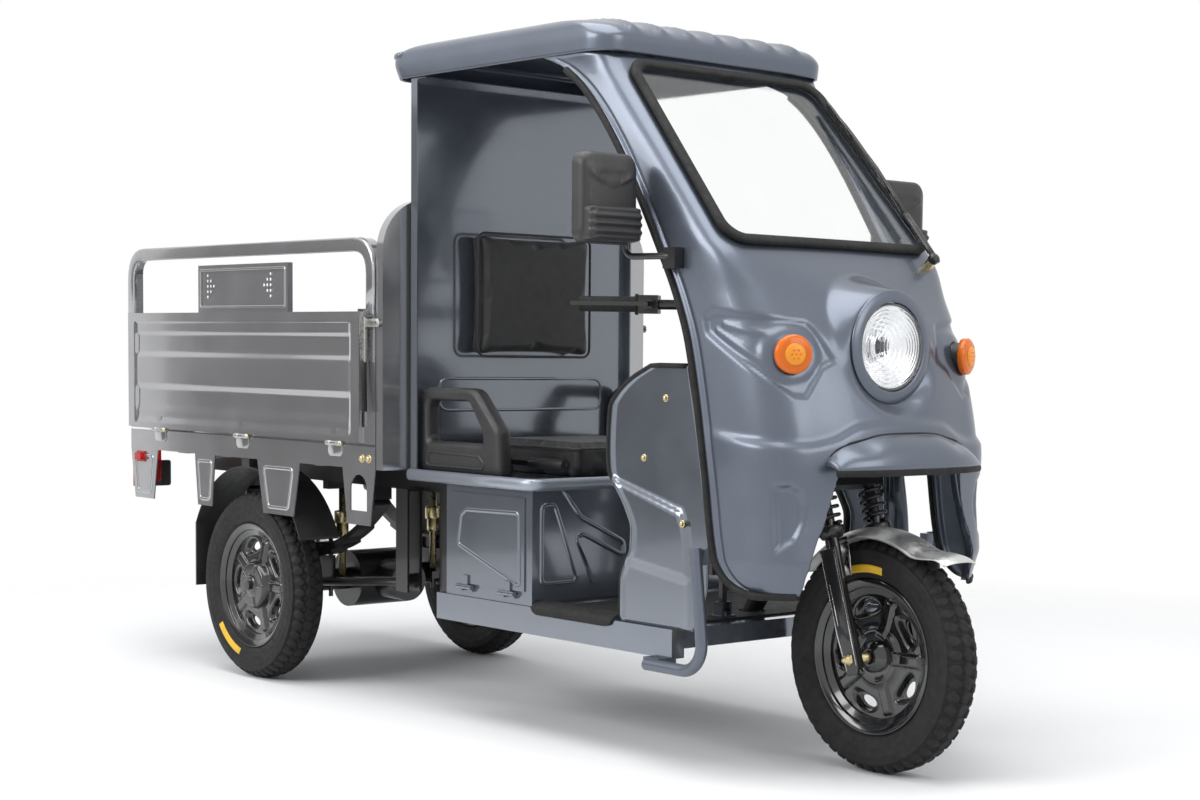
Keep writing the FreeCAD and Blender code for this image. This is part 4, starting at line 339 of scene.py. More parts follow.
def build_card(name, corners, colour):
    """A dark studio card out of frame, seen only in reflections."""
    shader = stage_sheet(name, corners, colour, 0.9, 0.8, 1.2)
    tree = shader.tree
    glossy = add_node(tree, "LightPath", {}, "Is Glossy Ray")
    hidden = add_node(tree, "BsdfTransparent", {}, "BSDF")
    matt = shader.surface.outputs["BSDF"]
    seen = add_node(tree, "MixShader", {"Fac": glossy, 1: hidden, 2: matt}, "Shader")
    tree.links.new(seen, tree.nodes["Material Output"].inputs["Surface"])


def lamp(name, place, aim, size, power):
    data = bpy.data.lights.new(name, "AREA")
    data.shape = "RECTANGLE"
    data.size, data.size_y = size
    data.energy = power
    item = bpy.data.objects.new(name, data)
    item.location = place
    item.rotation_euler = (Vector(aim) - Vector(place)).to_track_quat("-Z", "Y").to_euler()
    scene.collection.objects.link(item)


build_floor()
build_world()
CARD = [(-3.2, -1.45, 0), (-3.2, -4.2, 0), (-3.2, -4.2, 1.9), (-3.2, -1.45, 1.9)]
build_card("side_card", CARD, (0.15, 0.14, 0.135))
lamp("top_box", (0.3, -0.6, 4.6), (0.2, 0, 0.6), (5.0, 3.6), 190)
lamp("front_box", (5.2, 0.6, 2.8), (0.6, 0, 0.8), (2.6, 2.6), 60)
lamp("side_box", (-0.9, -4.7, 3.2), (-0.1, 0, 1.0), (4.0, 1.8), 150)


# Mesh helpers
def dress(item, name, finish, body="chassis", replaced=(), slot=None):
    """Name an object, give it its finish and seat it on its body."""
    item.name = name
    item.data.name = name
    item.data.materials.clear()
    item.data.materials.append(finish)
    if not item.users_collection:
        scene.collection.objects.link(item)
    if body:
        slot = slot or SLOT[finish]
        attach(item, body)
    if replaced:
        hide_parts(*replaced)
    return item


def piece(name, points, faces, finish, body="chassis", replaced=(), slot=None, smooth=True):
    data = bpy.data.meshes.new(name)
    data.from_pydata([tuple(point) for point in points], [], faces)
    data.validate()
    if smooth:
        data.shade_smooth()
    return dress(bpy.data.objects.new(name, data), name, finish, body, replaced, slot)


def both(build):
    """Build a piece on the right and on the left."""
    for side, label in SIDES:
        build(side, label)
    return build


def on_right(side, node):
    """The node that a pair of pieces replaces, told once, by the right one."""
    return [node] if side < 0 else ()


def weave(rows, columns, closed=False, looped=False):
    """Quads between rows of points, each row a ring where closed, the rows in a loop where looped."""
    faces = []
    for row in range(rows if looped else rows - 1):
        low, high = row*columns, (row + 1) % rows*columns
        for column in range(columns if closed else columns - 1):
            after = (column + 1) % columns
            faces.append((low + column, low + after, high + after, high + column))
    return faces


def ends(rows, columns):
    """Faces that close the first and the last ring."""
    return [tuple(range(columns))[::-1], tuple(range((rows - 1)*columns, rows*columns))]


def shares(count):
    return [index/count for index in range(count + 1)]


def spread(first, last, count):
    """Even steps from one number to another."""
    return [first + (last - first)*share for share in shares(count)]


def turns(count):
    """Even angles round a circle."""
    return [2*pi*index/count for index in range(count)]


def mirrored(profile):
    """A profile of (radius, height) turned end for end."""
    return [(radius, -height) for radius, height in reversed(profile)]


def bake(item):
    """Apply an object's modifiers to its mesh."""
    bpy.context.view_layer.update()
    graph = bpy.context.evaluated_depsgraph_get()
    mesh = bpy.data.meshes.new_from_object(item.evaluated_get(graph))
    old = item.data
    item.modifiers.clear()
    item.data = mesh
    bpy.data.meshes.remove(old)


def carve(item, *cutters):
    """Cut solids out of a piece, then delete them."""
    for cutter in cutters:
        tool = item.modifiers.new("cut", "BOOLEAN")
        tool.operation = "DIFFERENCE"
        tool.solver = "EXACT"
        tool.object = cutter
    bake(item)
    for cutter in cutters:
        bpy.data.objects.remove(cutter)


def prism(outline, way):
    """A solid from a closed outline pushed along a vector."""
    count = len(outline)
    points = [Vector(point) for point in outline] + [Vector(point) + way for point in outline]
    return piece("cutter", points, weave(2, count, True) + ends(2, count), black_paint, None)


def spokes(way, count):
    """Unit vectors round a direction."""
    side = way.orthogonal().normalized()
    other = way.cross(side)
    return [side*cos(turn) + other*sin(turn) for turn in turns(count)]


def drum(centre, way, radius, length):
    """A plain round cutter along a direction."""
    return prism([centre - way*(length/2) + spoke*radius for spoke in spokes(way, 64)], way*length)


def soften(item, width, segments):
    """Round an object's sharp edges."""
    bevel(item, width, segments, 40)
    bake(item)
    item.data.shade_smooth()


def plate(outline, way, name, finish, body="chassis", replaced=(), round_off=None):
    """A flat piece pushed out of an outline, its edges rounded where asked."""
    item = dress(prism(outline, way), name, finish, body, replaced)
    if round_off:
        soften(item, *round_off)


def thicken(item, thickness, offset=-1):
    wall = item.modifiers.new("wall", "SOLIDIFY")
    wall.thickness = thickness
    wall.offset = offset
    bake(item)
    item.data.shade_smooth()


def weld(item, gap):
    """Join points that lie together and turn the faces outward."""
    mesh = bmesh.new()
    mesh.from_mesh(item.data)
    bmesh.ops.remove_doubles(mesh, verts=mesh.verts, dist=gap)
    bmesh.ops.delete(mesh, geom=[vertex for vertex in mesh.verts if not vertex.link_faces], context="VERTS")
    bmesh.ops.recalc_face_normals(mesh, faces=mesh.faces)
    mesh.to_mesh(item.data)
    mesh.free()


def smooth_path(points, radius, closed=False):
    """Points of a path whose corners are turned into arcs."""
    points = [Vector(point) for point in points]
    result = []
    for index, here in enumerate(points):
        if not closed and index in (0, len(points) - 1):
            result.append(here)
            continue
        back, ahead = points[index - 1] - here, points[(index + 1) % len(points)] - here
        half = (pi - back.angle(ahead))/2
        reach = min(radius*tan(half), back.length*0.48, ahead.length*0.48)
        first, last = here + back.normalized()*reach, here + ahead.normalized()*reach
        result += [(1 - share)**2*first + 2*share*(1 - share)*here + share**2*last for share in shares(6)]
    return result


def rounded_outline(corners, count):
    """Points round a polygon of (x, y, radius), the same number at each corner."""
    spots = [Vector(corner[:2]) for corner in corners]
    result = []
    for index, (here, (_, _, radius)) in enumerate(zip(spots, corners)):
        back = (spots[index - 1] - here).normalized()
        ahead = (spots[(index + 1) % len(spots)] - here).normalized()
        half = (pi - back.angle(ahead))/2
        centre = here + (back + ahead).normalized()*(radius/cos(half))
        first, last = (here + way*radius*tan(half) - centre for way in (back, ahead))
        result += [centre + first.slerp(last, share).normalized()*radius for share in shares(count)]
    return result


def rounded_rect(x0, x1, y0, y1, corner, straight, bend):
    """Points round a rectangle with round corners, counter-clockwise from its lower left side."""
    result = []
    centres = ((x1 - corner, y0 + corner), (x1 - corner, y1 - corner), (x0 + corner, y1 - corner),
               (x0 + corner, y0 + corner))
    starts = ((x0 + corner, y0), (x1, y0 + corner), (x1 - corner, y1), (x0, y1 - corner))
    for quarter, ((cx, cy), (sx, sy)) in enumerate(zip(centres, starts)):
        first = pi/2*(quarter - 1)
        ex, ey = cx + corner*cos(first), cy + corner*sin(first)
        result += list(zip(spread(sx, ex, straight), spread(sy, ey, straight)))[:-1]
        for turn in spread(first, first + pi/2, bend)[:-1]:
            result.append((cx + corner*cos(turn), cy + corner*sin(turn)))
    return result


def smoothstep(share):
    share = max(0.0, min(1.0, share))
    return share*share*(3 - 2*share)


def ridge(at, middle, width):
    """A bell-shaped rise of 1 at its middle."""
    return exp(-((at - middle)/width)**2)


def pchip(xs, ys, x):
    """Shape-keeping cubic through points, level past the ends."""
    if x <= xs[0]:
        return ys[0]
    if x >= xs[-1]:
        return ys[-1]
    steps = [b - a for a, b in zip(xs, xs[1:])]
    slopes = [(d - c)/h for c, d, h in zip(ys, ys[1:], steps)]

    def tangent(index):
        before, after = slopes[max(0, index - 1)], slopes[min(index, len(slopes) - 1)]
        return 0.0 if before*after <= 0 else 2*before*after/(before + after)

    cell = max(index for index in range(len(steps)) if x >= xs[index])
    h = steps[cell]
    t = (x - xs[cell])/h
    return (ys[cell]*(1 + 2*t)*(1 - t)**2 + h*tangent(cell)*t*(1 - t)**2
            + ys[cell + 1]*t*t*(3 - 2*t) + h*tangent(cell + 1)*t*t*(t - 1))


def through(line, at):
    """Value at a place of a smooth line through points."""
    return pchip(*zip(*line), at)


def to_segment(point, start, end):
    """Distance from a point to a segment and the share along it, in a plane."""
    (px, py), (ax, ay), (bx, by) = point, start, end
    length = (bx - ax)**2 + (by - ay)**2
    share = max(0.0, min(1.0, ((px - ax)*(bx - ax) + (py - ay)*(by - ay))/length))
    return hypot(px - ax - share*(bx - ax), py - ay - share*(by - ay)), share


def depth_in(point, outline):
    """How far a point lies inside a closed outline; negative outside."""
    inside = False
    least = 1e9
    for (ax, ay), (bx, by) in zip(outline, outline[1:] + outline[:1]):
        least = min(least, to_segment(point, (ax, ay), (bx, by))[0])
        if (ay > point[1]) != (by > point[1]) and point[0] < (bx - ax)*(point[1] - ay)/(by - ay) + ax:
            inside = not inside
    return least if inside else -least


def oval(half_a, half_b=None, count=14, power=0.7):
    """A rounded section; a round one where only its radius is given."""
    if half_b is None:
        half_b, power = half_a, 1.0
    result = []
    for turn in turns(count):
        result.append((half_a*abs(cos(turn))**power*(1 if cos(turn) > 0 else -1),
                       half_b*abs(sin(turn))**power*(1 if sin(turn) > 0 else -1)))
    return result


def sweep(name, path, outline, up, finish, body="chassis", closed=False, replaced=(), slot=None):
    """A strip of the outline's section along a path; up is the section's second axis."""
    count = len(path)
    points = []
    for index, here in enumerate(path):
        before = path[index - 1] if index or closed else here
        after = path[(index + 1) % count] if index < count - 1 or closed else here
        across = (after - before).normalized().cross(up).normalized()
        points += [here + across*a + up*b for a, b in outline]
    wide = len(outline)
    faces = weave(count, wide, True, closed) + ([] if closed else ends(count, wide))
    return piece(name, points, faces, finish, body, replaced, slot)


def revolve(name, profile, centre, way, finish, body="chassis", replaced=(), count=72, closed=False,
            slot=None):
    """Turn a profile of (radius, height) about an axis."""
    axis = Vector(way).normalized()
    points = []
    for spoke in spokes(axis, count):
        points += [Vector(centre) + axis*height + spoke*radius for radius, height in profile]
    faces = [(a, d, c, b) for a, b, c, d in weave(count, len(profile), closed, True)]
    item = piece(name, points, faces, finish, body, replaced, slot)
    weld(item, 0.00002)
    return item


# Cab front: one moulding from the chin to the roof, with its pressed forms
# Rings of it: height, front, crown, corner, side, edge, edge's side
RINGS = mm((395, 1232.5, 20, 110, 325, 1150, 331), (400, 1234, 20, 110, 326, 1112, 334),
           (412, 1237, 21, 110, 329, 1082, 338), (435, 1243, 22, 110, 333, 1053, 342),
           (470, 1252.5, 25, 110, 338, 1032.5, 345), (655, 1252.5, 35, 110, 335, 1000.5, 345),
           (908, 1197.5, 35, 110, 335, 947.5, 345), (1010, 1127.5, 25, 90, 338, 907.5, 345),
           (1116, 1029.5, 6, 40, 341, 848, 345), (1200, 952.4, 6, 40, 337, 795, 343),
           (1344, 820.1, 6, 40, 331, 695, 340), (1460, 713.6, 6, 40, 328, 590, 340),
           (1520, 659, 6, 40, 335, 505, 343), (1547, 644, 8, 45, 343, 430, 345))
RING_Z, *RING_SIZES = zip(*RINGS)
CHIN_Z, ROOF_Z, ARCH_TOP = 0.395, 1.547, 0.655
ARCH = ((CHIN_Z, 0.262), (0.473, 0.249), (0.553, 0.214), (ARCH_TOP, 0.183))
WRAP_X, WRAP_R = 0.85, 0.34
LAMP_RECESS = mm((406, 963), (384, 979), (314, 970), (199, 957), (184, 943), (144, 877), (174, 861),
                 (205.5, 801), (229, 803), (398, 931))
LAMP_RIBS = mm((360, 949), (272, 929)), mm((376, 937), (276, 873))
SWAGE = mm((0, 752), (36, 751), (107, 743), (165, 715), (215, 705), (285, 711), (420, 738))
CHEEK = mm((262, 622), (236, 626), (216, 612), (209, 580), (211, 545), (225, 510), (258, 486))
LIGHT_X, LIGHT_Z, LIGHT_R = 1.2015, 0.908, 0.093
LIGHT = Vector((LIGHT_X, 0, LIGHT_Z))
LAMP_AT = (0.2335, 0.890)
TURN_X, TURN_Y, TURN_OUT = FRONT_X - 0.034, 0.255, radians(22)
OUTER, INNER = 76, 30
SCREEN_RUN, SCREEN_RISE, SCREEN_LOW, SCREEN_TOP = 0.393, 0.428, 0.317, 0.290
TILT = atan2(SCREEN_RUN, SCREEN_RISE)
SCREEN_WAY = Vector((-sin(TILT), 0, cos(TILT)))
SCREEN_OUT = Vector((cos(TILT), 0, sin(TILT)))
SCREEN_FOOT = Vector((FRONT_X - 0.158, 0, 1.116))
SCREEN_LENGTH = SCREEN_RISE/cos(TILT) - 0.024


def turn_lamp_seat(side):
    """Place and direction of a turn lamp."""
    return Vector((TURN_X, side*TURN_Y, LAMP_AT[1])), Vector((cos(TURN_OUT), side*sin(TURN_OUT), 0))


def on_screen(along, lift, across):
    """A point by its way up the screen, its lift off the glass and its place across."""
    return SCREEN_FOOT + SCREEN_OUT*lift + Y*across + SCREEN_WAY*along


def screen_outline(margin, lift, corner):
    """The screen's rounded outline drawn in by a margin, lifted off the plane."""
    low, top, end = SCREEN_LOW - margin, SCREEN_TOP - margin, SCREEN_LENGTH - margin
    corners = ((-low, margin, corner), (low, margin, corner), (top, end, corner), (-top, end, corner))
    return [on_screen(along, lift, across) for across, along in rounded_outline(corners, 12)]


def lengths_along(line):
    lengths = [0.0]
    for here, after in zip(line, line[1:]):
        lengths.append(lengths[-1] + hypot(after[0] - here[0], after[1] - here[1]))
    return lengths


def places_along(line, lengths, wants):
    """Points of a plane line at rising lengths along it."""
    result = []
    cell = 0
    for want in wants:
        while cell < len(lengths) - 2 and lengths[cell + 1] < want:
            cell += 1
        share = (want - lengths[cell])/max(1e-9, lengths[cell + 1] - lengths[cell])
        here, after = line[cell], line[cell + 1]
        result.append((here[0] + (after[0] - here[0])*share, here[1] + (after[1] - here[1])*share))
    return result


def smooth_plan(line):
    """Even out a half section's curvature, keeping its trailing edge and its place on the middle line."""
    lengths = lengths_along(line)
    even = places_along(line, lengths, spread(0, lengths[-1], 160))
    for _ in range(90):
        threes = zip(even, even[1:], even[2:])
        inner = [tuple((a + 2*b + c)/4 for a, b, c in zip(*three)) for three in threes]
        even = [even[0], *inner, ((even[-2][0] + even[-1][0])/2, 0.0)]
    return even


def half_ring(z):
    """Points from the right trailing edge past the wheel arch to the nose, with their way from the edge."""
    front, crown, corner, side, edge, edge_side = (pchip(RING_Z, sizes, z) for sizes in RING_SIZES)
    tip = side - corner
    bow = (tip*tip + crown*crown)/(2*crown)
    straight = front - crown - corner
    dense = [(x, -y) for x, y in zip(spread(edge, straight, 40), spread(edge_side, side, 40))][:-1]
    for turn in spread(0, pi/2, 60)[:-1]:
        dense.append((straight + corner*sin(turn), -(tip + corner*cos(turn))))
    for across in spread(tip, 0, 60):
        dense.append((front - bow + sqrt(bow*bow - across*across), -across))
    dense = smooth_plan([point for point in dense if point[0] >= edge - 1e-9])
    lengths = lengths_along(dense)
    stop = through(ARCH, z)
    reach = next(length for length, point in zip(lengths, dense) if -point[1] <= stop)
    wants = spread(0, reach, OUTER)[:-1] + spread(reach, lengths[-1], INNER)
    return [(x, y, want) for (x, y), want in zip(places_along(dense, lengths, wants), wants)]


def front_relief(x, y, z, from_edge):
    """How far the moulding stands out of its smooth surface at a point."""
    wrapped = WRAP_R*abs(atan2(abs(y), x - WRAP_X))
    spot = (wrapped, z)
    out = 0.0
    if 0.78 < z < 1.0:
        out -= 0.0075*smoothstep(depth_in(spot, LAMP_RECESS)/0.012 + 0.3)
        for start, end in LAMP_RIBS:
            gap, share = to_segment(spot, start, end)
            out += 0.0030*smoothstep(1 - gap/(0.006 + 0.007*share))
        boss = smoothstep((0.066 - hypot(wrapped - LAMP_AT[0], z - LAMP_AT[1]))/0.022)
        out += (-0.0015 - out)*boss
    if z < 0.82:
        below = through(SWAGE, wrapped) - z
        fade = 1 - smoothstep((wrapped - 0.29)/0.12)
        out += 0.0105*smoothstep((below + 0.012)/0.024)*(1 - smoothstep((below - 0.03)/0.13))*fade
    if 0.46 < z < 0.65:
        out -= 0.013*smoothstep(depth_in(spot, CHEEK)/0.014 + 0.25)
    if z < 1.53:
        out -= 0.005*ridge(from_edge, 0.022, 0.006)
    return out


def build_fairing():
    heights = spread(CHIN_Z, ARCH_TOP, 40) + spread(0.6615, 1.1115, 75) + spread(1.1175, ROOF_Z, 34)
    half = OUTER + INNER + 1
    points = []
    for z in heights:
        right = []
        ring = half_ring(z)
        for index, (x, y, from_edge) in enumerate(ring):
            a, b = ring[max(0, index - 1)], ring[min(half - 1, index + 1)]
            normal = Vector((b[1] - a[1], a[0] - b[0])).normalized()
            out = front_relief(x, y, z, from_edge)
            spot = Vector((x + normal.x*out, y + normal.y*out, z))
            seat = 1 - smoothstep((hypot(y, z - LIGHT_Z) - 0.112)/0.042)
            spot.x += (LIGHT_X - 0.003 - spot.x)*seat
            right.append(spot)
        points += right + [Vector((p.x, -p.y, p.z)) for p in reversed(right)]
    wide = 2*half
    faces = []
    for face in weave(len(heights), wide):
        row, column = divmod(face[0], wide)
        if not (OUTER <= column < wide - 1 - OUTER and heights[row] < ARCH_TOP - 0.001):
            faces.append(face)
    item = piece("cab_front", points, faces, cab_paint, replaced=["front_fairing"])
    weld(item, 0.0004)
    thicken(item, 0.004)
    cutters = [prism(screen_outline(0.0144, -0.06, 0.045), SCREEN_OUT*0.12)]
    cutters.append(drum(LIGHT, X, LIGHT_R + 0.0015, 0.3))
    carve(item, *cutters, *(drum(*turn_lamp_seat(side), 0.031, 0.12) for side, _ in SIDES))
    item.data.shade_smooth()
    return item


cab_front = build_fairing()
seal = screen_outline(0.011, 0.006, 0.050)
sweep("screen_seal", seal, oval(0.0125, 0.0075), SCREEN_OUT, black_rubber, "chassis", True, ["rubber_trims"])


@both
def build_edges(side, label):
    """Rubber along the trailing edge and under the chin, and the edge turned back at the wheel."""
    path = [Vector((x, -side*y, CHIN_Z)) for x, y, _ in half_ring(CHIN_Z)[OUTER - 2:0:-5]]
    for z in spread(0.398, 0.485, 29) + spread(0.49, 1.51, 51):
        x, y, _ = half_ring(z)[0]
        path.append(Vector((x, -side*y, z)))
    sweep(f"door_trim_{label}", path, oval(0.0075, 0.009, 12), Y*side, black_rubber)
    rows = []
    for share in shares(26):
        z = 0.396 + 0.2574*share
        x, y, _ = half_ring(z)[OUTER]
        for step in (0.0, 0.006, 0.012, 0.018):
            rows.append(Vector((x - 0.003 - step, -side*(y - 0.0004*share), z)))
    thicken(piece(f"arch_return_{label}", rows, weave(27, 4), cab_paint), 0.003, 0)


def dome(name, levels, finish, body, replaced, counts, crown, turn=None, relief=None, closed=False):
    """A crowned form through levels of (height, x0, x1, y0, y1, corner)."""
    straight, bend, rings, caps = counts
    rows = []
    for share in shares(rings - 1):
        at = (len(levels) - 1)*share
        z, *sizes = (pchip(range(len(levels)), level, at) for level in zip(*levels))
        rows.append([Vector((x, y, z)) for x, y in rounded_rect(*sizes, straight, bend)])
    top = rows[-1]
    count = len(top)
    middle = sum(top, Vector())/count
    for cap in range(1, caps):
        share = 1 - cap/caps
        rows.append([middle + (point - middle)*share + Z*(crown*(1 - share*share)) for point in top])
    points = [relief(point) if relief else point for row in rows for point in row]
    if turn:
        points = [turn @ point for point in points]
    low, high = ends(len(rows), count)
    faces = weave(len(rows), count, True) + [high] + ([low] if closed else [])
    return piece(name, points, faces, finish, body, replaced)


# Roof with flutes over the screen and a curled lip behind
ROOF = mm((1544, -175, 650.5, -345, 345, 60), (1575, -192, 654, -346, 346, 60),
          (1600, -200.5, 640, -343, 343, 70), (1618, -186, 600, -330, 330, 90),
          (1629, -130, 530, -300, 300, 110), (1636, -30, 420, -240, 240, 110))
FLUTE = 0.0826


def flutes(point):
    share = smoothstep((point.x - 0.30)/0.12)*smoothstep((0.30 - abs(point.y))/0.03)
    share *= smoothstep((point.z - 1.585)/0.02)
    wave = 0.5 + 0.5*cos(2*pi*point.y/FLUTE)
    return point + Vector((0.35, 0, 0.95))*(0.0085*share*wave*wave - 0.003*share)


roof = dome("roof", ROOF, cab_paint, "chassis", ["roof_panel"], (44, 10, 26, 14), 0.002, None, flutes)
thicken(roof, 0.004)
around = rounded_rect(-0.203, 0.6, -0.338, 0.338, 0.070, 12, 10)
lip = [Vector((x, y, 1.602)) for x, y in around if x < -0.10]
lip.sort(key=lambda point: -point.y)
sweep("roof_lip", lip, oval(0.009, count=12), Z, cab_paint)

# Visor: an arched hood over the front wheel
VISOR_HALF, VISOR_FRONT, VISOR_RISE, VISOR_DEEP = 0.218, 1.3055, 0.074, 0.075


def build_visor():
    across, around, bend = 57, 26, 17
    points = []
    edge = []
    for share in spread(-1, 1, across - 1):
        width = abs(share)
        rise = 0.010 + (VISOR_RISE - 0.010)*max(0.0, 1 - width**2.8)**0.55
        front = VISOR_FRONT - 0.042*width**3
        dish = 0.008*ridge(width, 0.62, 0.17)
        edge.append(Vector((front - 0.001, VISOR_HALF*share, ARCH_TOP - 0.0055)))
        for step in range(around):
            turn = pi/2*min(step, bend)/bend
            beyond = max(0, step - bend)
            x = front - VISOR_DEEP*(1 - cos(turn))**0.85 - 0.0122*beyond
            z = ARCH_TOP + rise*sin(turn)**0.8 - dish*sin(2*turn)**2 + 0.0008*beyond
            points.append(Vector((x, VISOR_HALF*share, z)))
    thicken(piece("visor", points, weave(across, around), cab_paint, replaced=["wheel_visor"]), 0.0035)
    # Painted shadow of the gap: a thin black rubber strip along the joint of the hood and the cab front
    gap_shadow = []
    bpy.context.view_layer.update()
    for column in range(1, across - 1):
        for spot in points[column*around + 2:(column + 1)*around]:
            hit, place, _, _ = cab_front.ray_cast(Vector((1.6, spot.y, spot.z)), -X)
            if hit and place.x > spot.x:
                gap_shadow.append(Vector((place.x + 0.0005, spot.y, spot.z + 0.0015)))
                break
    sweep("visor_gap_shadow", gap_shadow, oval(0.0032, count=10), Z, black_rubber)
    sweep("visor_strip", edge, oval(0.0055, 0.0075, 12), Z, black_rubber)


build_visor()


# Tyres: wavy channels between round shoulder lugs, ribbed side walls
LUGS, TREAD_HALF, TREAD_DROP, GROOVE = 52, 0.0445, 0.019, 0.0065
TYRE_SIDE = mm((153.5, 26.2), (160, 29), (169, 33), (171.5, 38.5), (180, 41.5), (190, 44), (193, 45.2),
               (196, 45), (208, 46.2), (211, 47), (214, 46.4), (226, 45.2))


def tread_groove(angle, across):
    """Depth of the tread's grooves at a place, from 0 to 1: two wavy channels and round shoulder lugs."""
    pitch = angle*LUGS/2/pi % 1
    wave = 0.055*cos(2*pi*pitch)
    depth = 0.0
    for way in (-1, 1):
        depth = max(depth, smoothstep((0.085 - abs(across - way*0.30 - wave*way))/0.035))
    if abs(across) > 0.36:
        shift = pitch if across > 0 else (pitch + 0.5) % 1
        lug = hypot((shift - 0.5)/0.34, (abs(across) - 0.66)/0.25)
        depth = max(depth, smoothstep((lug - 0.92)/0.22)*(1 - smoothstep((abs(across) - 0.93)/0.06)))
    slit = (pitch + 0.5*across) % 1
    if abs(across) < 0.2:
        depth = max(depth, 0.55*smoothstep(1.4 - abs(slit - 0.5)/0.06))
    return depth


def tyre_points(around, wide):
    points = []
    for angle in turns(around):
        tread = []
        for across in spread(1, -1, wide):
            crown = TYRE_R - TREAD_DROP*abs(across)**3.2
            tread.append((crown - GROOVE*tread_groove(angle, across), TREAD_HALF*across))
        row = [*TYRE_SIDE, *tread, *mirrored(TYRE_SIDE)]
        points += [Vector((r*cos(angle), y, r*sin(angle))) for r, y in row]
    return points


WHEELS = (("front_wheel", "front_tyre", "front_rim", Vector((FRONT_X, 0, TYRE_R)), -1),
          ("rear_wheel_right", "rear_tyre_right", "rear_rim_right", Vector((REAR_X, -TRACK/2, TYRE_R)), -1),
          ("rear_wheel_left", "rear_tyre_left", "rear_rim_left", Vector((REAR_X, TRACK/2, TYRE_R)), 1))
AROUND, WIDE = 624, 46
treaded = tyre_points(AROUND, WIDE)
tyre_faces = weave(AROUND, len(treaded)//AROUND, False, True)
for wheel, tyre, _, centre, _ in WHEELS:
    piece("treaded_" + tyre, [point + centre for point in treaded], tyre_faces, tyre_rubber, wheel, [tyre])


# Mirrors: a pillow case with an oval boss, a ribbed shelf and a glass
MIRROR_IN, MIRROR_OUT = 0.372, 0.522


@both
def build_mirror(side, label):
    body = f"mirror_{label}"
    y0, y1 = sorted((side*MIRROR_OUT, side*MIRROR_IN))

    def level(z, inset, low, high, corner, more=0.0):
        return z, y0 + inset, y1 - inset + more, low, high, corner

    def facing(way):
        return Matrix(((0, 0, way, 0), (1, 0, 0, 0), (0, 1, 0, 0), (0, 0, 0, 1)))

    def boss(point):
        gap = hypot((point.x - (y0 + y1)/2)/0.050, (point.y - 1.258)/0.016)
        rise = 0.004*smoothstep((1.25 - gap)/0.25) - 0.003*smoothstep((0.95 - gap)/0.25)
        return point + Z*(rise if point.z > 0.81 else 0.0)

    def ribs(point):
        wave = 0.5 + 0.5*cos(2*pi*(point.y - 1.156)/0.0165)
        return point + Z*(0.005*wave if point.z > 0.825 else 0.0)

    case = [level(0.7705, 0.004, 1.119, 1.301, 0.022), level(0.776, 0, 1.115, 1.305, 0.024),
            level(0.795, 0, 1.115, 1.305, 0.026), level(0.808, 0.004, 1.119, 1.301, 0.028),
            level(0.8155, 0.018, 1.133, 1.287, 0.026)]
    ahead = facing(1)
    dome(f"mirror_case_{label}", case, black_plastic, body, [body], (26, 8, 18, 10), 0.003, ahead, boss, True)
    shelf = [level(0.800, 0.006, 1.119, 1.196, 0.010, 0.002),
             level(0.822, 0.006, 1.121, 1.192, 0.012, 0.002),
             level(0.833, 0.014, 1.128, 1.184, 0.012, 0.002)]
    dome(f"mirror_shelf_{label}", shelf, black_plastic, body, (), (30, 6, 14, 12), 0.001, ahead, ribs, True)
    face = [level(-0.7700, 0.008, 1.123, 1.297, 0.018), level(-0.7695, 0.009, 1.124, 1.296, 0.018)]
    dome(f"mirror_glass_{label}", face, mirror_glass, body, (), (8, 6, 3, 5), 0.0008, facing(-1))


# Armrests: moulded loops on a solid foot
ARM_OUTER = mm((-87.5, 592, 8), (247.5, 592, 10), (240, 700, 30), (142, 797, 55), (-87.5, 797, 42))
ARM_INNER = mm((-52, 666, 16), (176, 666, 14), (172, 694, 22), (116, 765, 30), (-52, 765, 20))
ARM_IN_Y, ARM_OUT_Y = 0.277, 0.319
ARM_RIB = mm((-60, 606, 10), (205, 606, 10), (165, 636, 10), (-40, 640, 10))


@both
def build_armrest(side, label):
    outer, inner = rounded_outline(ARM_OUTER, 7), rounded_outline(ARM_INNER, 7)
    rings = ((inner, ARM_IN_Y), (outer, ARM_IN_Y), (outer, ARM_OUT_Y), (inner, ARM_OUT_Y))
    points = [Vector((x, side*y, z)) for outline, y in rings for x, z in outline]
    faces = weave(4, len(outer), True, True)
    replaced = on_right(side, "armrests")
    soften(piece(f"armrest_{label}", points, faces, black_plastic, "chassis", replaced), 0.0145, 5)
    line = [Vector((x, side*(ARM_OUT_Y - 0.0005), z)) for x, z in rounded_outline(ARM_RIB, 5)]
    sweep(f"armrest_rib_{label}", line, oval(0.003, count=8), Y, black_plastic, closed=True)


# Headlight: a stepped bowl behind a ribbed lens
BULB = mm((0, -20), (6, -20.5), (10.5, -24), (11.5, -30), (11.5, -40), (16, -42), (16, -49))
COLLAR = mm((20.5, -30), (23.5, -27), (26, -30), (26, -49), (20.5, -49))
LIGHT_RIM = mm((93.5, 0), (118.5, -2.5), (120.5, 0.5), (118, 3.5), (98.5, 6), (94.5, 5.5))


def lens_height(radius):
    ripple = 0.0004*cos(2*pi*radius/0.0100) if 0.03 < radius < 0.088 else 0.0
    return 0.003 + 0.016*(1 - (radius/LIGHT_R)**2.2) + ripple


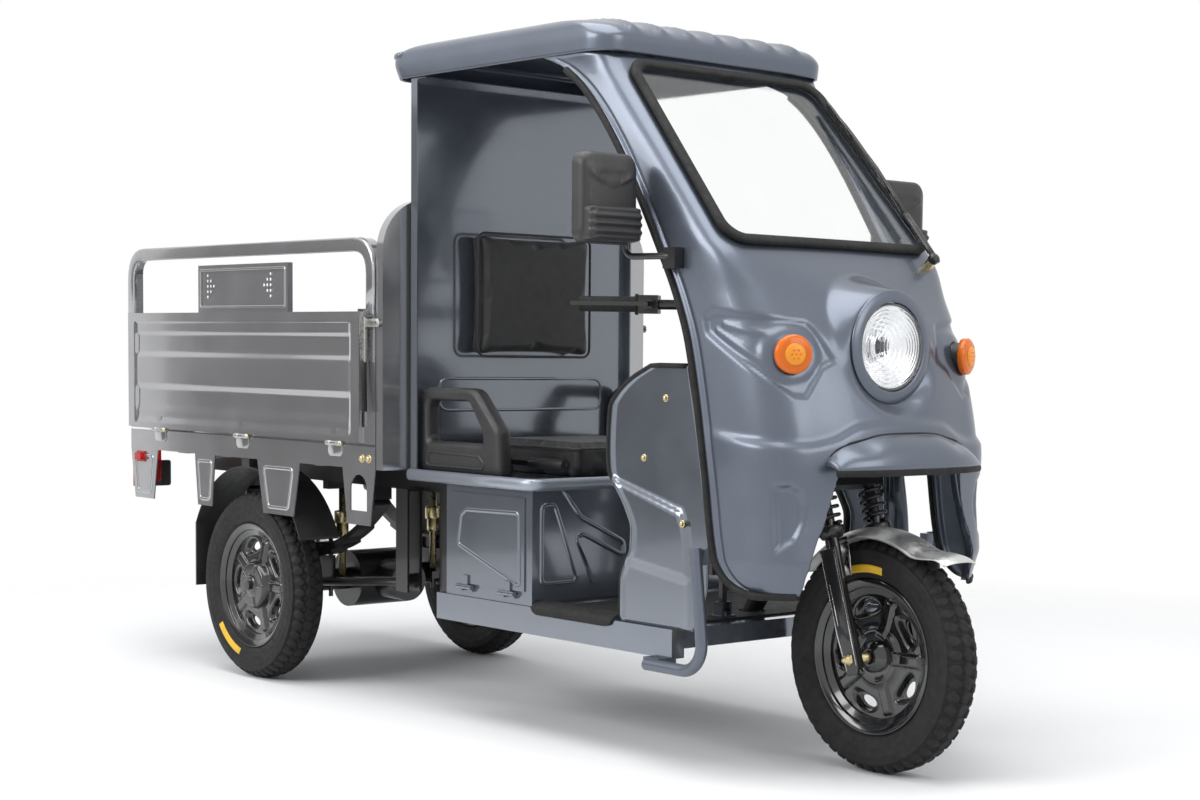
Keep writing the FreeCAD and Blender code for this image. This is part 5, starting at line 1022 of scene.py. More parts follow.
def build_headlight():
    outside = [(LIGHT_R*share, lens_height(LIGHT_R*share)) for share in shares(60)]
    inside = [(radius*0.985, height - 0.003) for radius, height in reversed(outside)]
    revolve("headlight_glass", outside + inside, LIGHT, X, lamp_glass, replaced=["headlight_lens"])
    bowl = []
    for ring in range(7):
        radius, depth = 0.0875 - 0.0085*ring, -0.004 - 0.0062*ring
        bowl += [(radius, depth), (radius - 0.0015, depth - 0.0052), (radius - 0.0075, depth - 0.0062)]
    revolve("headlight_bowl", bowl + [(0.022, -0.050), (0.0, -0.050)], LIGHT, X, reflector)
    revolve("headlight_collar", COLLAR, LIGHT, X, reflector, count=48, closed=True)
    revolve("headlight_bulb", BULB, LIGHT, X, smoked, count=40)
    revolve("headlight_rim", LIGHT_RIM, LIGHT, X, cab_paint, count=96, closed=True)


build_headlight()

# Leg shields: pressed panels with a swept inner edge, and a dash with room for the fork
SHIELD_Y, SHIELD_FOOT_Z, SHIELD_TOP = 0.337, 0.3035, 0.8623
SHIELD_BACK = mm((303, 713.6), (395, 714), (425, 725), (461.3, 749.9), (505.9, 752.7), (553.4, 731.2),
                 (600, 694), (630.1, 670), (680, 666), (769, 672), (796.2, 692.8), (830, 740),
                 (862.3, 812.4))
SHIELD_FRONT = mm((303, 950), (400, 995), (470, 997.5), (655, 972.5), (862.3, 925.5))
SHIELD_PANEL = mm((600, 630), (688.2, 615.5), (913.9, 556.3), (934.2, 518.9), (945.7, 416.2), (950, 250),
                  (600, 250))
SHIELD_FOOT = mm((600, 449), (739.8, 440.4), (942.5, 413.8), (950, 250), (600, 250))


@both
def build_shield(side, label):
    rows, columns = 90, 60
    points = []
    for z in spread(SHIELD_FOOT_Z, SHIELD_TOP, rows - 1):
        first, last = through(SHIELD_BACK, z), through(SHIELD_FRONT, z)
        if side > 0 and z < 0.66:
            last -= 0.042*smoothstep((0.66 - z)/0.05)
        for x in spread(first, last, columns - 1):
            out = 0.009*smoothstep(depth_in((x, z), SHIELD_PANEL)/0.016 + 0.3)
            out -= 0.005*smoothstep(depth_in((x, z), SHIELD_FOOT)/0.018 + 0.3)
            out += 0.003*ridge(x, first + 0.010, 0.006)
            points.append(Vector((x, side*(SHIELD_Y - 0.009 + out), z)))
    faces = weave(rows, columns)
    replaced = on_right(side, "leg_shields")
    thicken(piece(f"leg_shield_{label}", points, faces, steel_paint, "chassis", replaced), 0.004, 0)
    line = [(through(SHIELD_BACK, z), z) for z in spread(0.306, 0.861, 50)]
    line += [(x, SHIELD_TOP) for x in (0.835, 0.865, 0.895, 0.922)]
    edge = [Vector((x, side*(SHIELD_Y - 0.008), z)) for x, z in line]
    sweep(f"shield_edge_{label}", edge, oval(0.0055, 0.0065, 12), Y*side, black_rubber)


DASH_IN, DASH_OUT, DASH_FOOT, DASH_ARCH, DASH_TOP = 0.300, 0.323, 0.303, 0.570, 0.863


def build_dash():
    outline = [(-DASH_OUT, DASH_FOOT), (-DASH_IN, DASH_FOOT), (-DASH_IN, DASH_ARCH)]
    for turn in spread(0, pi, 24)[1:-1]:
        outline.append((-DASH_IN*cos(turn), DASH_ARCH + 0.085*sin(turn)**0.4))
    outline += [(DASH_IN, DASH_ARCH), (DASH_IN, DASH_FOOT), (DASH_OUT, DASH_FOOT)]
    outline += [(DASH_OUT, DASH_TOP), (-DASH_OUT, DASH_TOP)]
    plate([Vector((0.8945, y, z)) for y, z in outline], X*0.003, "dash_panel", steel_paint)
    brow = [Vector((0.896, y, z)) for y, z in outline[2:-4]]
    sweep("dash_edge", brow, oval(0.005, count=10), X, black_rubber)


build_dash()


# Pressed ribs on the seat box, its door, the rear wall and the skirts
def rib(name, corners, radius, size, up, finish, body="chassis", closed=True):
    path = smooth_path(corners, radius, closed)
    sweep(name, path, oval(size, size*0.55, 12, 1.0), up, finish, body, closed)


BOX_FRAME = mm((313, 535), (313, 352), (206, 352), (276, 535))
BOX_BEND = mm((255, 574), (200, 503.5), (70, 439), (70, 405), (194, 465), (212, 456.3), (162, 348))
DOOR_Y = -0.3435
DOOR = mm((129, 496), (150, 511), (356, 515), (361, 353), (353, 350), (117, 426.7))
WALL = mm((-256, 738), (256, 738), (256, 817), (-256, 817))
for side, label in SIDES:
    face = [(SEAT_FRONT, side*y, z) for y, z in BOX_FRAME]
    rib(f"box_rib_{label}_a", face, 0.016, 0.0065, X, steel_paint)
    face = [(SEAT_FRONT, side*y, z) for y, z in BOX_BEND]
    rib(f"box_rib_{label}_b", face, 0.018, 0.0065, X, steel_paint, closed=False)
rib("door_rib", [(x, DOOR_Y, z) for x, z in DOOR], 0.012, 0.0055, Y, steel_paint, "seat_box_door")
rib("wall_rib", [(WALL_X + 0.003, y, z) for y, z in WALL], 0.030, 0.004, X, steel_paint)
SKIRTS = ((BED_REAR, 0.160), (REAR_X - 0.270, 0.112), (REAR_X + 0.067, 0.215))
SKIRT = ((0.16, 0.574), (0.84, 0.574), (0.73, 0.470), (0.27, 0.470))
for side, label in SIDES:
    for number, (start, width) in enumerate(SKIRTS, 1):
        corners = [(start + width*share, side*BED_HALF, z) for share, z in SKIRT]
        rib(f"skirt_rib_{label}_{number}", corners, 0.012, 0.005, Y, bed_paint)

# Deck nose: a rolled rail round the seat deck
NOSE_HALF, NOSE_Z = 0.346, 0.5825
NOSE = ((WALL_X + 0.012, -1), (SEAT_FRONT + 0.006, -1), (SEAT_FRONT + 0.006, 1), (WALL_X + 0.012, 1))
nose = smooth_path([(x, side*NOSE_HALF, NOSE_Z) for x, side in NOSE], 0.035)
sweep("deck_nose", nose, oval(0.011, 0.0145, 16, 0.9), Z, deck_paint)


# Front mudguard: bright, crowned, with a flicked tip and two stays
def fork_point(ahead, across, up):
    """A point in the fork's raked frame, from the axle."""
    x, z = ahead*cos(RAKE) - up*sin(RAKE), ahead*sin(RAKE) + up*cos(RAKE)
    return Vector((FRONT_X + x, across, TYRE_R + z))


GUARD_R, GUARD_HALF = 0.2755, 0.0495


def build_mudguard():
    around, across = 60, 25
    points = []
    for angle in spread(44, 144, around - 1):
        flick = 0.040*smoothstep((64 - angle)/20)**1.3
        turn = radians(angle)
        for share in spread(-1, 1, across - 1):
            drop = 0.020*abs(share)**2.4 + 0.003*ridge(abs(share), 0.97, 0.03)
            radius = GUARD_R + flick - drop*(1 - 0.5*flick/0.04)
            x, z = FRONT_X + radius*cos(turn), TYRE_R + radius*sin(turn)
            points.append(Vector((x, GUARD_HALF*share, z)))
    faces = weave(around, across)
    thicken(piece("mudguard", points, faces, fender_steel, "fork_slider", ["front_mudguard"]), 0.002)
    for side, label in SIDES:
        stay = ((-0.002, 0.0515, 0.180), (0.004, 0.0505, 0.215), (0.004, 0.0455, 0.262))
        path = [fork_point(ahead, side*out, up) for ahead, out, up in stay]
        sweep(f"mudguard_stay_{label}", path, oval(0.016, 0.002, 12), Y, brushed, "fork_slider")


build_mudguard()

# Fork covers: flat black blades with plain silver lines, and the axle's nuts
FORK_UP = fork_point(0, 0, 1) - fork_point(0, 0, 0)
BLADE = mm((-17, -32), (13, -36), (21, -20), (22, 45), (25, 240), (-21, 240), (-23, 55))
BLADE_LINES = (mm((-18, 232), (-19.5, 58), (-12.5, -22)), mm((21.5, 232), (18.5, 46), (17.2, -16)),
               mm((-10, 165), (-11, 75)))
BLADE_IN, BLADE_FACE, LEG_Y = 0.0880, 0.0988, 0.0745
TUBE = mm((0, -20), (12.5, -20), (14, -14), (14, 258), (12, 262), (0, 262))
NUT = mm((0, 0), (13.5, 0), (13.5, 2.5), (10, 3), (10, 10.5), (8.5, 12), (5.5, 12.5), (5.5, 18), (0, 19))
SPACER = mm((0, 40), (10.5, 40), (12.5, 42), (12.5, 52), (10.5, 54), (10.5, 88.5), (0, 88.5))


@both
def build_blade(side, label):
    body = "fork_slider"
    outline = [fork_point(ahead, side*BLADE_IN, up) for ahead, up in BLADE]
    replaced = on_right(side, "fork_legs")
    plate(outline, Y*(side*0.0105), f"fork_blade_{label}", black_paint, body, replaced, (0.0025, 3))
    foot = fork_point(-0.002, side*LEG_Y, 0)
    revolve(f"fork_tube_{label}", TUBE, foot, FORK_UP, black_paint, body, count=36)
    face = side*BLADE_FACE
    for number, line in enumerate(BLADE_LINES, 1):
        path = smooth_path([fork_point(ahead, face, up) for ahead, up in line], 0.03)
        sweep(f"blade_line_{label}_{number}", path, oval(0.0013, 0.0004, 8), Y, silver, body)
    revolve(f"axle_nut_{label}", NUT, (FRONT_X, face, TYRE_R), Y*side, yellow_zinc, body, count=6)
    revolve(f"axle_spacer_{label}", SPACER, (FRONT_X, 0, TYRE_R), Y*side, yellow_zinc, body, count=32)


# Plaques on the side gates: two clusters of small holes
PLAQUE_Y, PLAQUE_Z, HOLE = 0.4072, 1.050, 0.0040
DOT = ((0.0, 0.0004), (HOLE*0.8, 0.0004), (HOLE, 0.0))
HOLES = [(centre + way*0.0165*step, PLAQUE_Z + 0.0145*row) for centre, way in ((-0.972, 1), (-0.640, -1))
         for row in range(-2, 3) for step in range(3 - abs(row))]
for side, label in SIDES:
    for number, (x, z) in enumerate(HOLES, 1):
        spot = (x, side*PLAQUE_Y, z)
        revolve(f"plaque_hole_{label}_{number}", DOT, spot, Y*side, hole_white, f"gate_{label}", count=12)


# Seat cushions: blown up by cloth pressure inside their solids' space
SWELL, VOXEL, WELT_IN, FRAMES = 0.014, 0.006, 0.009, 20


def build_cushion(name, low, high, node, front):
    """A cushion between two corners, with a welt round its front at a level of one axis."""
    size = Vector(high) - Vector(low)
    middle = (Vector(high) + Vector(low))/2
    mesh = bmesh.new()
    bmesh.ops.create_cube(mesh, size=1.0)
    for vertex in mesh.verts:
        vertex.co = middle + Vector(c*(s - 0.016) for c, s in zip(vertex.co, size))
    bmesh.ops.bevel(mesh, geom=mesh.edges[:], offset=0.018, segments=4, profile=0.6, affect="EDGES")
    data = bpy.data.meshes.new(name)
    mesh.to_mesh(data)
    mesh.free()
    item = dress(bpy.data.objects.new(name, data), name, seat_vinyl, "chassis", [node])
    remesh = item.modifiers.new("remesh", "REMESH")
    remesh.mode = "VOXEL"
    remesh.voxel_size = VOXEL
    bake(item)
    start = [vertex.co.copy() for vertex in item.data.vertices]
    cloth = item.modifiers.new("cloth", "CLOTH").settings
    cloth.use_pressure = True
    cloth.uniform_pressure_force = 4.0
    cloth.effector_weights.gravity = 0
    cloth.tension_stiffness = 18
    cloth.bending_stiffness = 1.2
    for number in range(1, FRAMES + 1):
        scene.frame_set(number)
    bake(item)
    scene.frame_set(1)
    for vertex, rest in zip(item.data.vertices, start):
        travel = vertex.co - rest
        if travel.length > SWELL:
            vertex.co = rest + travel.normalized()*SWELL
        for axis in range(3):
            vertex.co[axis] = min(max(vertex.co[axis], low[axis]), high[axis])
    finer = item.modifiers.new("finer", "SUBSURF")
    finer.levels = finer.render_levels = 1
    bake(item)
    item.data.shade_smooth()
    axis, level = front
    u, v = (k for k in range(3) if k != axis)
    sizes = low[u] + WELT_IN, high[u] - WELT_IN, low[v] + WELT_IN, high[v] - WELT_IN
    welt = []
    for spot in rounded_rect(*sizes, 0.022, 14, 6):
        point = Vector((level, level, level))
        point[u], point[v] = spot
        welt.append(point)
    sweep(f"{name}_welt", welt, oval(0.0032, count=10), (X, Y, Z)[axis], seat_vinyl, closed=True)


build_cushion("seat", (-0.0105, -0.185, 0.5925), (0.3695, 0.185, 0.674), "seat_cushion", (2, 0.659))
build_cushion("seat_back", (-0.0920, -0.185, 0.864), (-0.0262, 0.185, 1.188), "backrest", (0, -0.042))

# Side gates: a pressed skin with ridges, a hoop rail and a framed plaque
GATE_FOOT, GATE_TOP, PANEL_TOP, RAIL_IN = 0.656, 1.160, 0.979, 0.0165
SKIN_Y, SKIN_BACK_Y, RAIL_Y, RUN_IN = 0.4188, 0.4105, 0.4125, 0.034
SKIN = mm((640, 0), (668, 0), (688, -4.5), (702, -4.5), (724, -7.2), (764, -7.2), (782, -1.2), (856, -1.2),
          (872, -7.2), (916, -7.2), (928, -2.2), (951, -2.2), (953.5, 0), (1000, 0))
RAIL = ((BED_REAR + RAIL_IN, PANEL_TOP - 0.01), (BED_REAR + RAIL_IN, GATE_TOP - RAIL_IN),
        (BED_FRONT - RAIL_IN, GATE_TOP - RAIL_IN), (BED_FRONT - RAIL_IN, PANEL_TOP - 0.01))
PLAQUE = mm((-1013, 994), (-568, 994), (-568, 1094), (-1013, 1094))


def along_line(line, at):
    """Height of a broken line at a place."""
    for (x0, y0), (x1, y1) in zip(line, line[1:]):
        if at <= x1:
            return y0 + (y1 - y0)*(at - x0)/(x1 - x0)
    return line[-1][1]


def close_back(item, level):
    """Drop a skin's border to a plane so that it ends on what carries it."""
    mesh = bmesh.new()
    mesh.from_mesh(item.data)
    border = [edge for edge in mesh.edges if edge.is_boundary]
    for vertex in bmesh.ops.extrude_edge_only(mesh, edges=border)["geom"]:
        if isinstance(vertex, bmesh.types.BMVert):
            vertex.co.y = level
    bmesh.ops.holes_fill(mesh, edges=[edge for edge in mesh.edges if edge.is_boundary], sides=0)
    bmesh.ops.recalc_face_normals(mesh, faces=mesh.faces)
    mesh.to_mesh(item.data)
    mesh.free()
    item.data.shade_smooth()
    item.data.set_sharp_from_angle(angle=radians(35))


@both
def build_gate(side, label):
    body = f"gate_{label}"
    first, last = BED_REAR + 0.001, BED_FRONT - 0.062
    spots = [first, first + 0.030, *spread(first + RUN_IN, first + 0.060, 13)]
    spots += spread(first + 0.064, last - 0.064, 30)
    spots += [*spread(last - 0.062, last - 0.036, 13), last - 0.030, last]
    points = []
    for z in spread(GATE_FOOT, PANEL_TOP, 130):
        relief = sum(along_line(SKIN, z + shift) for shift in (-0.002, 0.0, 0.002))/3
        for x in spots:
            share = smoothstep((min(x - first, last - x) - RUN_IN - 0.3*abs(relief))/0.020)
            points.append(Vector((x, side*(SKIN_Y + relief*share), z)))
    item = piece(f"gate_skin_{label}", points, weave(131, len(spots)), bed_paint, body)
    close_back(item, side*SKIN_BACK_Y)
    path = smooth_path([(x, side*RAIL_Y, z) for x, z in RAIL], 0.075)
    sweep(f"gate_rail_{label}", path, oval(0.0175, 0.0063, 20, 0.35), Y*side, bed_paint, body)
    line = [(x, side*PLAQUE_Y, z) for x, z in PLAQUE]
    rib(f"plaque_rib_{label}", line, 0.006, 0.0036, Y, bed_paint, body)


# Hinges: rolled barrels on thin leaves
BARREL_END = mm((0, -10.8), (3.5, -10.8), (6, -10), (6.6, -8.5))
BARREL = [*BARREL_END, *mirrored(BARREL_END)]
PIN = mm((0, 0), (4.8, 0), (4.8, 3.5), (3, 5), (0, 5.2))
LEAF = mm((-33, -4), (33, -4), (33, -24), (24, -33), (-24, -33), (-33, -24))
HINGE_Y, TAIL_HINGE_Y, HINGE_Z = 0.4175, 0.2466, 0.651
HINGES = [((x, side*HINGE_Y, HINGE_Z), X, Y*side) for side, _ in SIDES
          for x in (BED_REAR + 0.180, (BED_REAR + BED_FRONT)/2, BED_FRONT - 0.180)]
HINGES += [((BED_REAR - 0.0065, y, HINGE_Z), Y, -X) for y in (-TAIL_HINGE_Y, TAIL_HINGE_Y)]
for count, (spot, way, out) in enumerate(HINGES, 1):
    spot = Vector(spot)
    for number, place in enumerate((-0.0225, 0.0225), 1):
        revolve(f"hinge_{count}_barrel_{number}", BARREL, spot + way*place, way, hinge_zinc, count=24)
    revolve(f"hinge_{count}_pin", PIN, spot + way*0.0332, way, yellow_zinc, count=20)
    outline = [spot + way*u - out*0.0062 + Z*v for u, v in LEAF]
    plate(outline, out*0.0022, f"hinge_{count}_leaf", bed_paint, round_off=(0.0006, 2))
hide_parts("gate_hinges")

# Over-centre latches: a plated lever with a slot and a rubber grip
LATCH_X, LATCH_Y, LATCH_Z, LINK_Y = -0.1725, 0.4195, 0.975, 0.4203
LEVER = mm((-10, 1.5), (8, 1.5), (11, -8), (8.5, -120), (-8.5, -126), (-14.5, -50), (-14.5, -22))
LEVER_SLOT = mm((-7.5, -20), (3.5, -16), (3, -88), (-8, -78))
GRIP = mm((0, 3, -116), (1, 3, -145), (10, 7, -241))
LINK = mm((-4, 941), (62, 941), (67, 946), (67, 955), (62, 961), (-4, 961))


@both
def build_latch(side, label):
    body = f"latch_{label}"

    def place(u, out, v):
        return Vector((LATCH_X + u, side*(LATCH_Y + out), LATCH_Z + v))

    lever = prism([place(u, 0, v) for u, v in LEVER], Y*(side*0.0065))
    carve(lever, prism([place(u, 0.003, v) for u, v in LEVER_SLOT], Y*(side*0.02)))
    dress(lever, f"latch_lever_{label}", hinge_zinc, body, [f"gate_latch_{label}"])
    soften(lever, 0.0012, 3)
    path = smooth_path([place(*spot) for spot in GRIP], 0.05)
    sweep(f"latch_grip_{label}", path, oval(0.0080, 0.0060, 16, 0.8), Y*side, black_rubber, body)
    bar = [Vector((LATCH_X + u, side*LINK_Y, z)) for u, z in LINK]
    plate(bar, Y*(side*0.0034), f"latch_link_{label}", hinge_zinc, body, (), (0.0008, 2))


# Bolts: hexagon heads on round washers
BOLTS = (((BED_FRONT - 0.060, 0.411, 0.6172), 0.0068), ((BED_FRONT - 0.030, 0.411, 0.6172), 0.0068),
         ((0.8575, 0.3302, 0.793), 0.0055), ((0.7875, 0.3302, 0.663), 0.0055),
         ((0.9250, 0.3385, 0.530), 0.0055))
for side, label in SIDES:
    for number, ((x, y, z), size) in enumerate(BOLTS, 1):
        name, spot = f"bolt_{label}_{number}", (x, side*y, z)
        replaced = ["bolts"] if name == "bolt_right_1" else ()
        washer = ((0.0, 0.0), (size*1.5, 0.0), (size*1.5, 0.0010), (size*1.4, 0.0015), (size, 0.0015))
        revolve(f"{name}_washer", washer, spot, Y*side, yellow_zinc, "chassis", replaced, 28)
        head = ((size*0.98, 0.0012), (size, 0.0020), (size, 0.0048), (size*0.86, 0.0058), (0.0, 0.0060))
        revolve(f"{name}_head", head, spot, Y*side, yellow_zinc, count=6)


# Wheels: a rolled rim, a pressed disc with windows and a hub
RIM_OUT = mm((165, 37.5), (168, 35), (158, 30), (153, 26.4), (153, 21.6), (136.5, 16.5))
RIM_IN = mm((158.5, -34.5), (149, -31), (148.5, -25.6), (133, -20))
RIM_LINE = [*RIM_OUT, (0.136, 0.0), *mirrored(RIM_OUT), *RIM_IN, (0.1325, 0.0), *mirrored(RIM_IN)]
HUB = mm((12.5, 38.5), (20.5, 38.5), (21.5, 36.5), (26.5, 35.5), (28.5, 32.5), (34, 31), (35, 15),
         (39.5, 12), (40, -27), (34.5, -30), (34, -36.5), (12.5, -37))
BRAKE_DRUM = mm((66, 10), (66, -28.5), (60, -33), (34, -33.5), (34, -37), (12.5, -37), (12.5, 10))
BARS, WINDOW_R = 5, 0.107


def beside_bar(radius, turn):
    """Share of the way from one of the disc's bars to the next, and the distance to the nearer."""
    bar = (turn/(2*pi)*BARS) % 1
    return bar, radius*sin(min(bar, 1 - bar)*2*pi/BARS)


def disc_height(radius, turn):
    """How far the pressed disc stands outward of the wheel's middle plane."""
    bar, aside = beside_bar(radius, turn)
    dish = 0.012 + 0.006*smoothstep((0.075 - radius)/0.03)
    rise = smoothstep((0.0155 - aside)/0.006)*smoothstep((radius - 0.044)/0.01)
    rise *= smoothstep((0.130 - radius)/0.010)
    along, across = (radius - WINDOW_R)/0.0175, radius*sin((bar - 0.5)*2*pi/BARS)/0.034
    dent = smoothstep((1.25 - hypot(along, across))/0.42)
    ring = ridge(radius, 0.058, 0.0035)
    return dish + 0.0065*rise - 0.016*dent*(1 - rise) + 0.002*ring


def cap_height(radius, turn):
    """Outer shape of a rear wheel's hub cover."""
    _, aside = beside_bar(radius, turn)
    top = 0.0395 - 0.003*smoothstep((radius - 0.020)/0.005) - 0.0015*smoothstep((radius - 0.028)/0.003)
    rise = 0.0028*smoothstep((0.0048 - aside)/0.0022)*smoothstep((radius - 0.029)/0.003)
    rise *= smoothstep((0.060 - radius)/0.004)
    return top + rise - 0.024*smoothstep((radius - 0.054)/0.016)**1.5


def polar_sheet(name, height, inner, outer, rows, centre, out, body, thick):
    count = 240
    points = []
    for radius in spread(inner, outer, rows):
        for turn in turns(count):
            points.append(centre + Vector((radius*cos(turn), out*height(radius, turn), radius*sin(turn))))
    item = piece(name, points, weave(rows + 1, count, True), gloss_paint, body)
    thicken(item, thick, 0)
    return item


def disc_window(centre, number):
    """A cutter for one of the disc's oval windows."""
    middle = 2*pi*(number + 0.5)/BARS
    outline = []
    for turn in turns(28):
        radius, aside = WINDOW_R + 0.0105*sin(turn), 0.021*cos(turn)
        x, z = radius*cos(middle) - aside*sin(middle), radius*sin(middle) + aside*cos(middle)
        outline.append(centre + Vector((x, -0.05, z)))
    return prism(outline, Y*0.1)


for name, _, rim, centre, out in WHEELS:
    barrel = revolve(f"{name}_barrel", RIM_LINE, centre, Y*out, gloss_paint, name, [rim], 120, True)
    soften(barrel, 0.0012, 2)
    disc = polar_sheet(f"{name}_disc", disc_height, 0.030, 0.1345, 60, centre, out, name, 0.003)
    carve(disc, *(disc_window(centre, number) for number in range(BARS)))
    disc.data.shade_smooth()
    disc.data.set_sharp_from_angle(angle=radians(50))
    if rim == "front_rim":
        revolve(f"{name}_hub", HUB, centre, Y*out, gloss_paint, name, closed=True)
    else:
        polar_sheet(f"{name}_cap", cap_height, 0.0004, 0.0700, 48, centre, out, name, 0.0025)
        revolve(f"{name}_drum", BRAKE_DRUM, centre, Y*out, black_paint, name, (), 96, True)


# Plain yellow labels on the right sidewalls
LABEL_IN, LABEL_OUT = 0.181, 0.198


def build_label(name, wheel, start, stop):
    body, tyre, _, centre, _ = wheel
    tyre = bpy.data.objects["treaded_" + tyre]
    around, deep = 40, 6
    points = []
    for turn in spread(radians(start), radians(stop), around):
        for radius in spread(LABEL_IN, LABEL_OUT, deep):
            spot = centre + Vector((radius*cos(turn), -0.2, radius*sin(turn)))
            hit, place, _, _ = tyre.ray_cast(tyre.matrix_world.inverted() @ spot, Y)
            points.append(tyre.matrix_world @ place - Y*0.0004 if hit else spot)
    thicken(piece(name, points, weave(around + 1, deep + 1), label_yellow, body), 0.0004, 0)


bpy.context.view_layer.update()
build_label("front_label", WHEELS[0], 78, 116)
build_label("rear_label", WHEELS[1], 218, 256)

# Fork springs: open coils between a seat cup and the yoke
COIL_LOW, COIL_HIGH, COIL_R, COIL_Y, TURNS = 0.288, 0.369, 0.0245, 0.072, 4.2
CUP = mm((0, 262), (22.5, 262), (29, 272), (30, 284), (29, 286.5), (18.5, 286.5), (0, 286.5))
ROD = ((0.0, 0.280), (0.0115, 0.280), (0.0115, COIL_HIGH), (0.0, COIL_HIGH))


@both
def build_coil(side, label):
    path = []
    for share in shares(170):
        turn = 2*pi*TURNS*share
        rise = COIL_LOW + 0.004 + (COIL_HIGH - COIL_LOW - 0.008)*(share - 0.06*sin(2*pi*share)/pi)
        path.append(fork_point(COIL_R*cos(turn), side*COIL_Y + COIL_R*sin(turn), rise))
    up = FORK_UP
    foot, top = fork_point(0, side*COIL_Y, 0), fork_point(0, side*COIL_Y, COIL_HIGH)
    item = sweep(f"fork_coil_{label}", path, oval(0.0042, count=12), up, gloss_black, "steering", False,
                 on_right(side, "fork_springs"))
    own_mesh(item)
    revolve(f"spring_seat_{label}", CUP, foot, up, gloss_black, "fork_slider", count=48)
    item = revolve(f"spring_rod_{label}", ROD, foot, up, silver, "steering", count=32, slot="polished")
    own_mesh(item)


# Backs of the tail lamps
TAIL_Y, TAIL_HALF, TAIL_LOW, TAIL_HIGH = BED_HALF - 0.070, 0.0565, 0.4785, 0.5535
for side, label in SIDES:
    centre = side*TAIL_Y
    back = rounded_rect(centre - TAIL_HALF, centre + TAIL_HALF, TAIL_LOW, TAIL_HIGH, 0.008, 4, 4)
    outline = [Vector((BED_REAR - 0.0135, y, z)) for y, z in back]
    plate(outline, X*0.009, f"tail_lamp_back_{label}", black_plastic, round_off=(0.002, 2))

# Turn lamps: a ringed amber lens with a bright middle
LENS = mm((0, 24.5), (18.5, 23.8), (20.5, 22.2), (24, 23.6), (27.5, 21.5), (31, 22.4), (35, 20.5),
          (39, 18.2), (40.2, 16), (40.2, 5), (39.2, 5), (39.2, 17.2), (0, 17.2))
MIDDLE = mm((0, 27.8), (12, 27.5), (20.5, 26.2), (22.5, 24), (22.5, 20), (0, 20))
BEAD = mm((0, 1.2), (1.6, 1), (2.6, 0.4), (3, -0.4))


@both
def build_turn_lamp(side, label):
    seat, way = turn_lamp_seat(side)
    seat += way*0.015
    revolve(f"turn_lens_{label}", LENS, seat, way, amber, "chassis", on_right(side, "turn_lenses"), 64)
    revolve(f"turn_middle_{label}", MIDDLE, seat, way, amber_bright, count=48)
    across = way.cross(Z).normalized()
    for number in range(7):
        turn = 2*pi*number/6
        reach = 0.0095 if number < 6 else 0.0
        spot = seat + way*0.0272 + across*reach*cos(turn) + Z*(reach*sin(turn))
        revolve(f"turn_bead_{label}_{number + 1}", BEAD, spot, way, amber, count=16)


# Wiper: a stout head, a slim arm and a yoked blade
WIPER_FOOT, WIPER_Y = -0.034, 0.272
WIPER_HEAD = mm((0, 33.5), (9, 33), (12, 30.5), (12.5, 27), (12.5, 18), (4.8, 18))


def bow(first, last, low, high):
    return [(first + (last - first)*share, low + (high - low)*sin(pi*share)**0.7) for share in shares(8)]


WIPER = (
    ("channel", mm((-12, 26.5), (30, 27.5), (90, 28.5), (135, 28.5)), oval(0.0085, 0.0050, 20)),
    ("arm", mm((120, 29), (200, 31), (280, 33), (325, 31)), oval(0.0048, 0.0026, 16)),
    ("yoke", bow(0.20, 0.46, 0.0225, 0.0300), oval(0.0050, 0.0030, 16)),
    ("claw_1", bow(0.135, 0.260, 0.0205, 0.0240), oval(0.0042, 0.0022, 16)),
    ("claw_2", bow(0.385, 0.510, 0.0205, 0.0240), oval(0.0042, 0.0022, 16)),
    ("blade", [(along, 0.0182) for along in spread(0.105, 0.505, 8)], oval(0.0032, 0.0036, 16)),
)
wiper_seat = on_screen(WIPER_FOOT, 0, WIPER_Y)
revolve("wiper_head", WIPER_HEAD, wiper_seat, SCREEN_OUT, gloss_black, "wiper", count=32)
for label, stations, outline in WIPER:
    path = [on_screen(WIPER_FOOT + along, lift, WIPER_Y) for along, lift in stations]
    finish = black_rubber if label == "blade" else gloss_black
    replaced = ["wiper_arm"] if label == "arm" else ()
    sweep(f"wiper_{label}", path, outline, SCREEN_OUT, finish, "wiper", False, replaced, "black_paint")
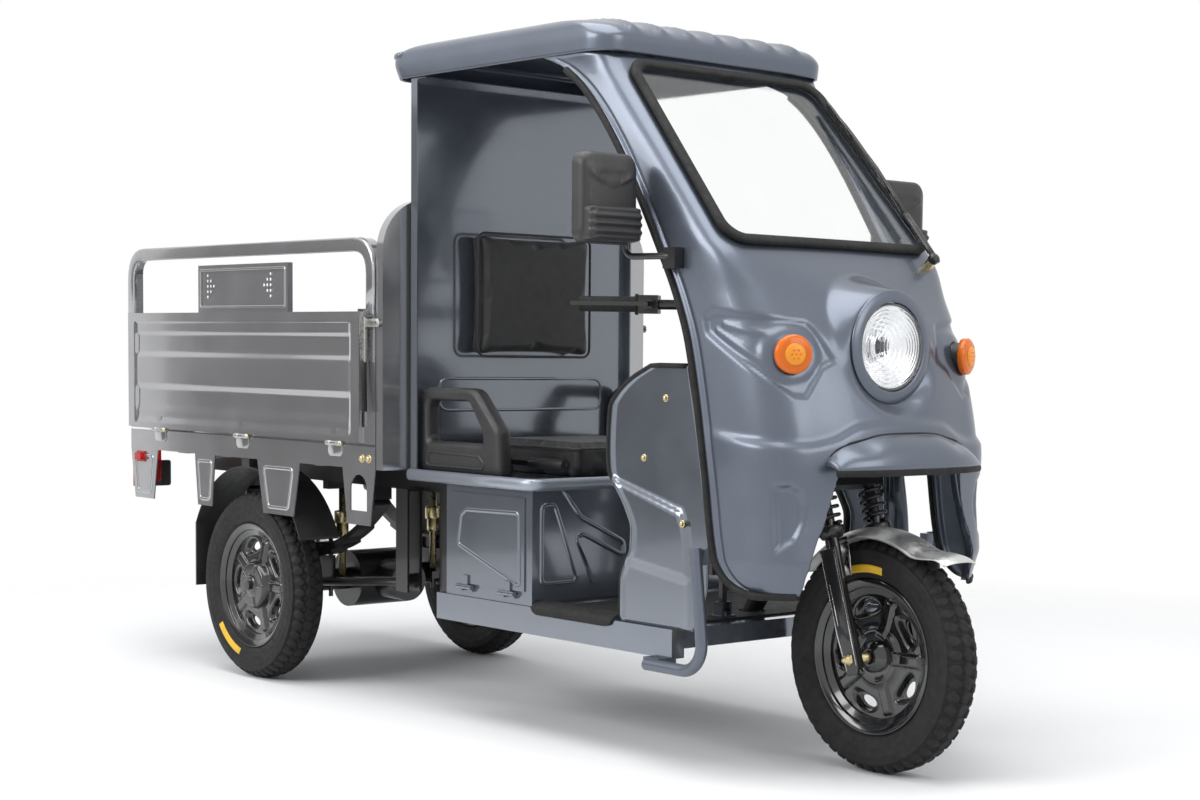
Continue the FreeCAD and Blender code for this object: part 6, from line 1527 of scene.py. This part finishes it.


# Rear springs: the leaves cut in two at the axle, and the shock absorbers
def cut_node(node, place, way):
    """Points and faces of a node's part on one side of a place along the length."""
    mesh = bmesh.new()
    mesh.from_mesh(nodes[node].data)
    mesh.transform(nodes[node].matrix_world)
    bmesh.ops.remove_doubles(mesh, verts=mesh.verts, dist=0.00001)
    geometry = mesh.verts[:] + mesh.edges[:] + mesh.faces[:]
    bmesh.ops.bisect_plane(mesh, geom=geometry, plane_co=X*place, plane_no=X*way, clear_inner=True)
    bmesh.ops.holes_fill(mesh, edges=[edge for edge in mesh.edges if edge.is_boundary], sides=0)
    mesh.verts.index_update()
    points = [vertex.co.copy() for vertex in mesh.verts]
    faces = [[vertex.index for vertex in face.verts] for face in mesh.faces]
    mesh.free()
    return points, faces


SHOCK = mm((0, 260.6), (9.4, 260.6), (9.4, 372), (15, 375), (17, 380), (17, 408), (21.5, 410), (22.1, 414),
           (22.1, 440), (20.5, 444), (9.4, 446), (9.4, 505.4), (0, 505.4))
SHOCK_X, SHOCK_Y = REAR_X + 0.062, 0.148
bpy.context.view_layer.update()
for way, label in ((1, "front"), (-1, "rear")):
    points, faces = cut_node("leaf_springs", REAR_X, way)
    replaced = ["leaf_springs"] if way > 0 else ()
    item = piece(f"leaf_{label}", points, faces, black_paint, None, replaced, smooth=False)
    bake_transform(item)
for side, label in SIDES:
    spot = (SHOCK_X, side*SHOCK_Y, 0)
    replaced = on_right(side, "shock_absorbers")
    item = revolve(f"shock_{label}", SHOCK, spot, Z, yellow_zinc, "chassis", replaced, 48)
    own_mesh(item)

# Floor mat: its edge laps over the floor beam between the seat box and the leg shield
MAT_REAR, MAT_FRONT, HEM = 0.4120, 0.7060, 0.030
MAT_DROP = mm((302, 314.5), (325, 313), (339, 309.5), (345.5, 304.5), (347.8, 298.5), (348.2, 293),
              (348.2, 288))


@both
def build_mat_edge(side, label):
    points = []
    for row, (across, height) in enumerate(MAT_DROP):
        for share in shares(40):
            hem = min(1, min(share, 1 - share)*(MAT_FRONT - MAT_REAR)/HEM)
            lift = 0.016*(1 - sqrt(1 - (1 - hem)**2))*max(0, row - 3)/3
            points.append(Vector((MAT_REAR + share*(MAT_FRONT - MAT_REAR), side*across, height + lift)))
    thicken(piece(f"mat_edge_{label}", points, weave(len(MAT_DROP), 41), black_rubber), 0.0024, side)


size = {"cad": [list(corner) for corner in cad_box], "visual": [list(corner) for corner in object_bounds()]}
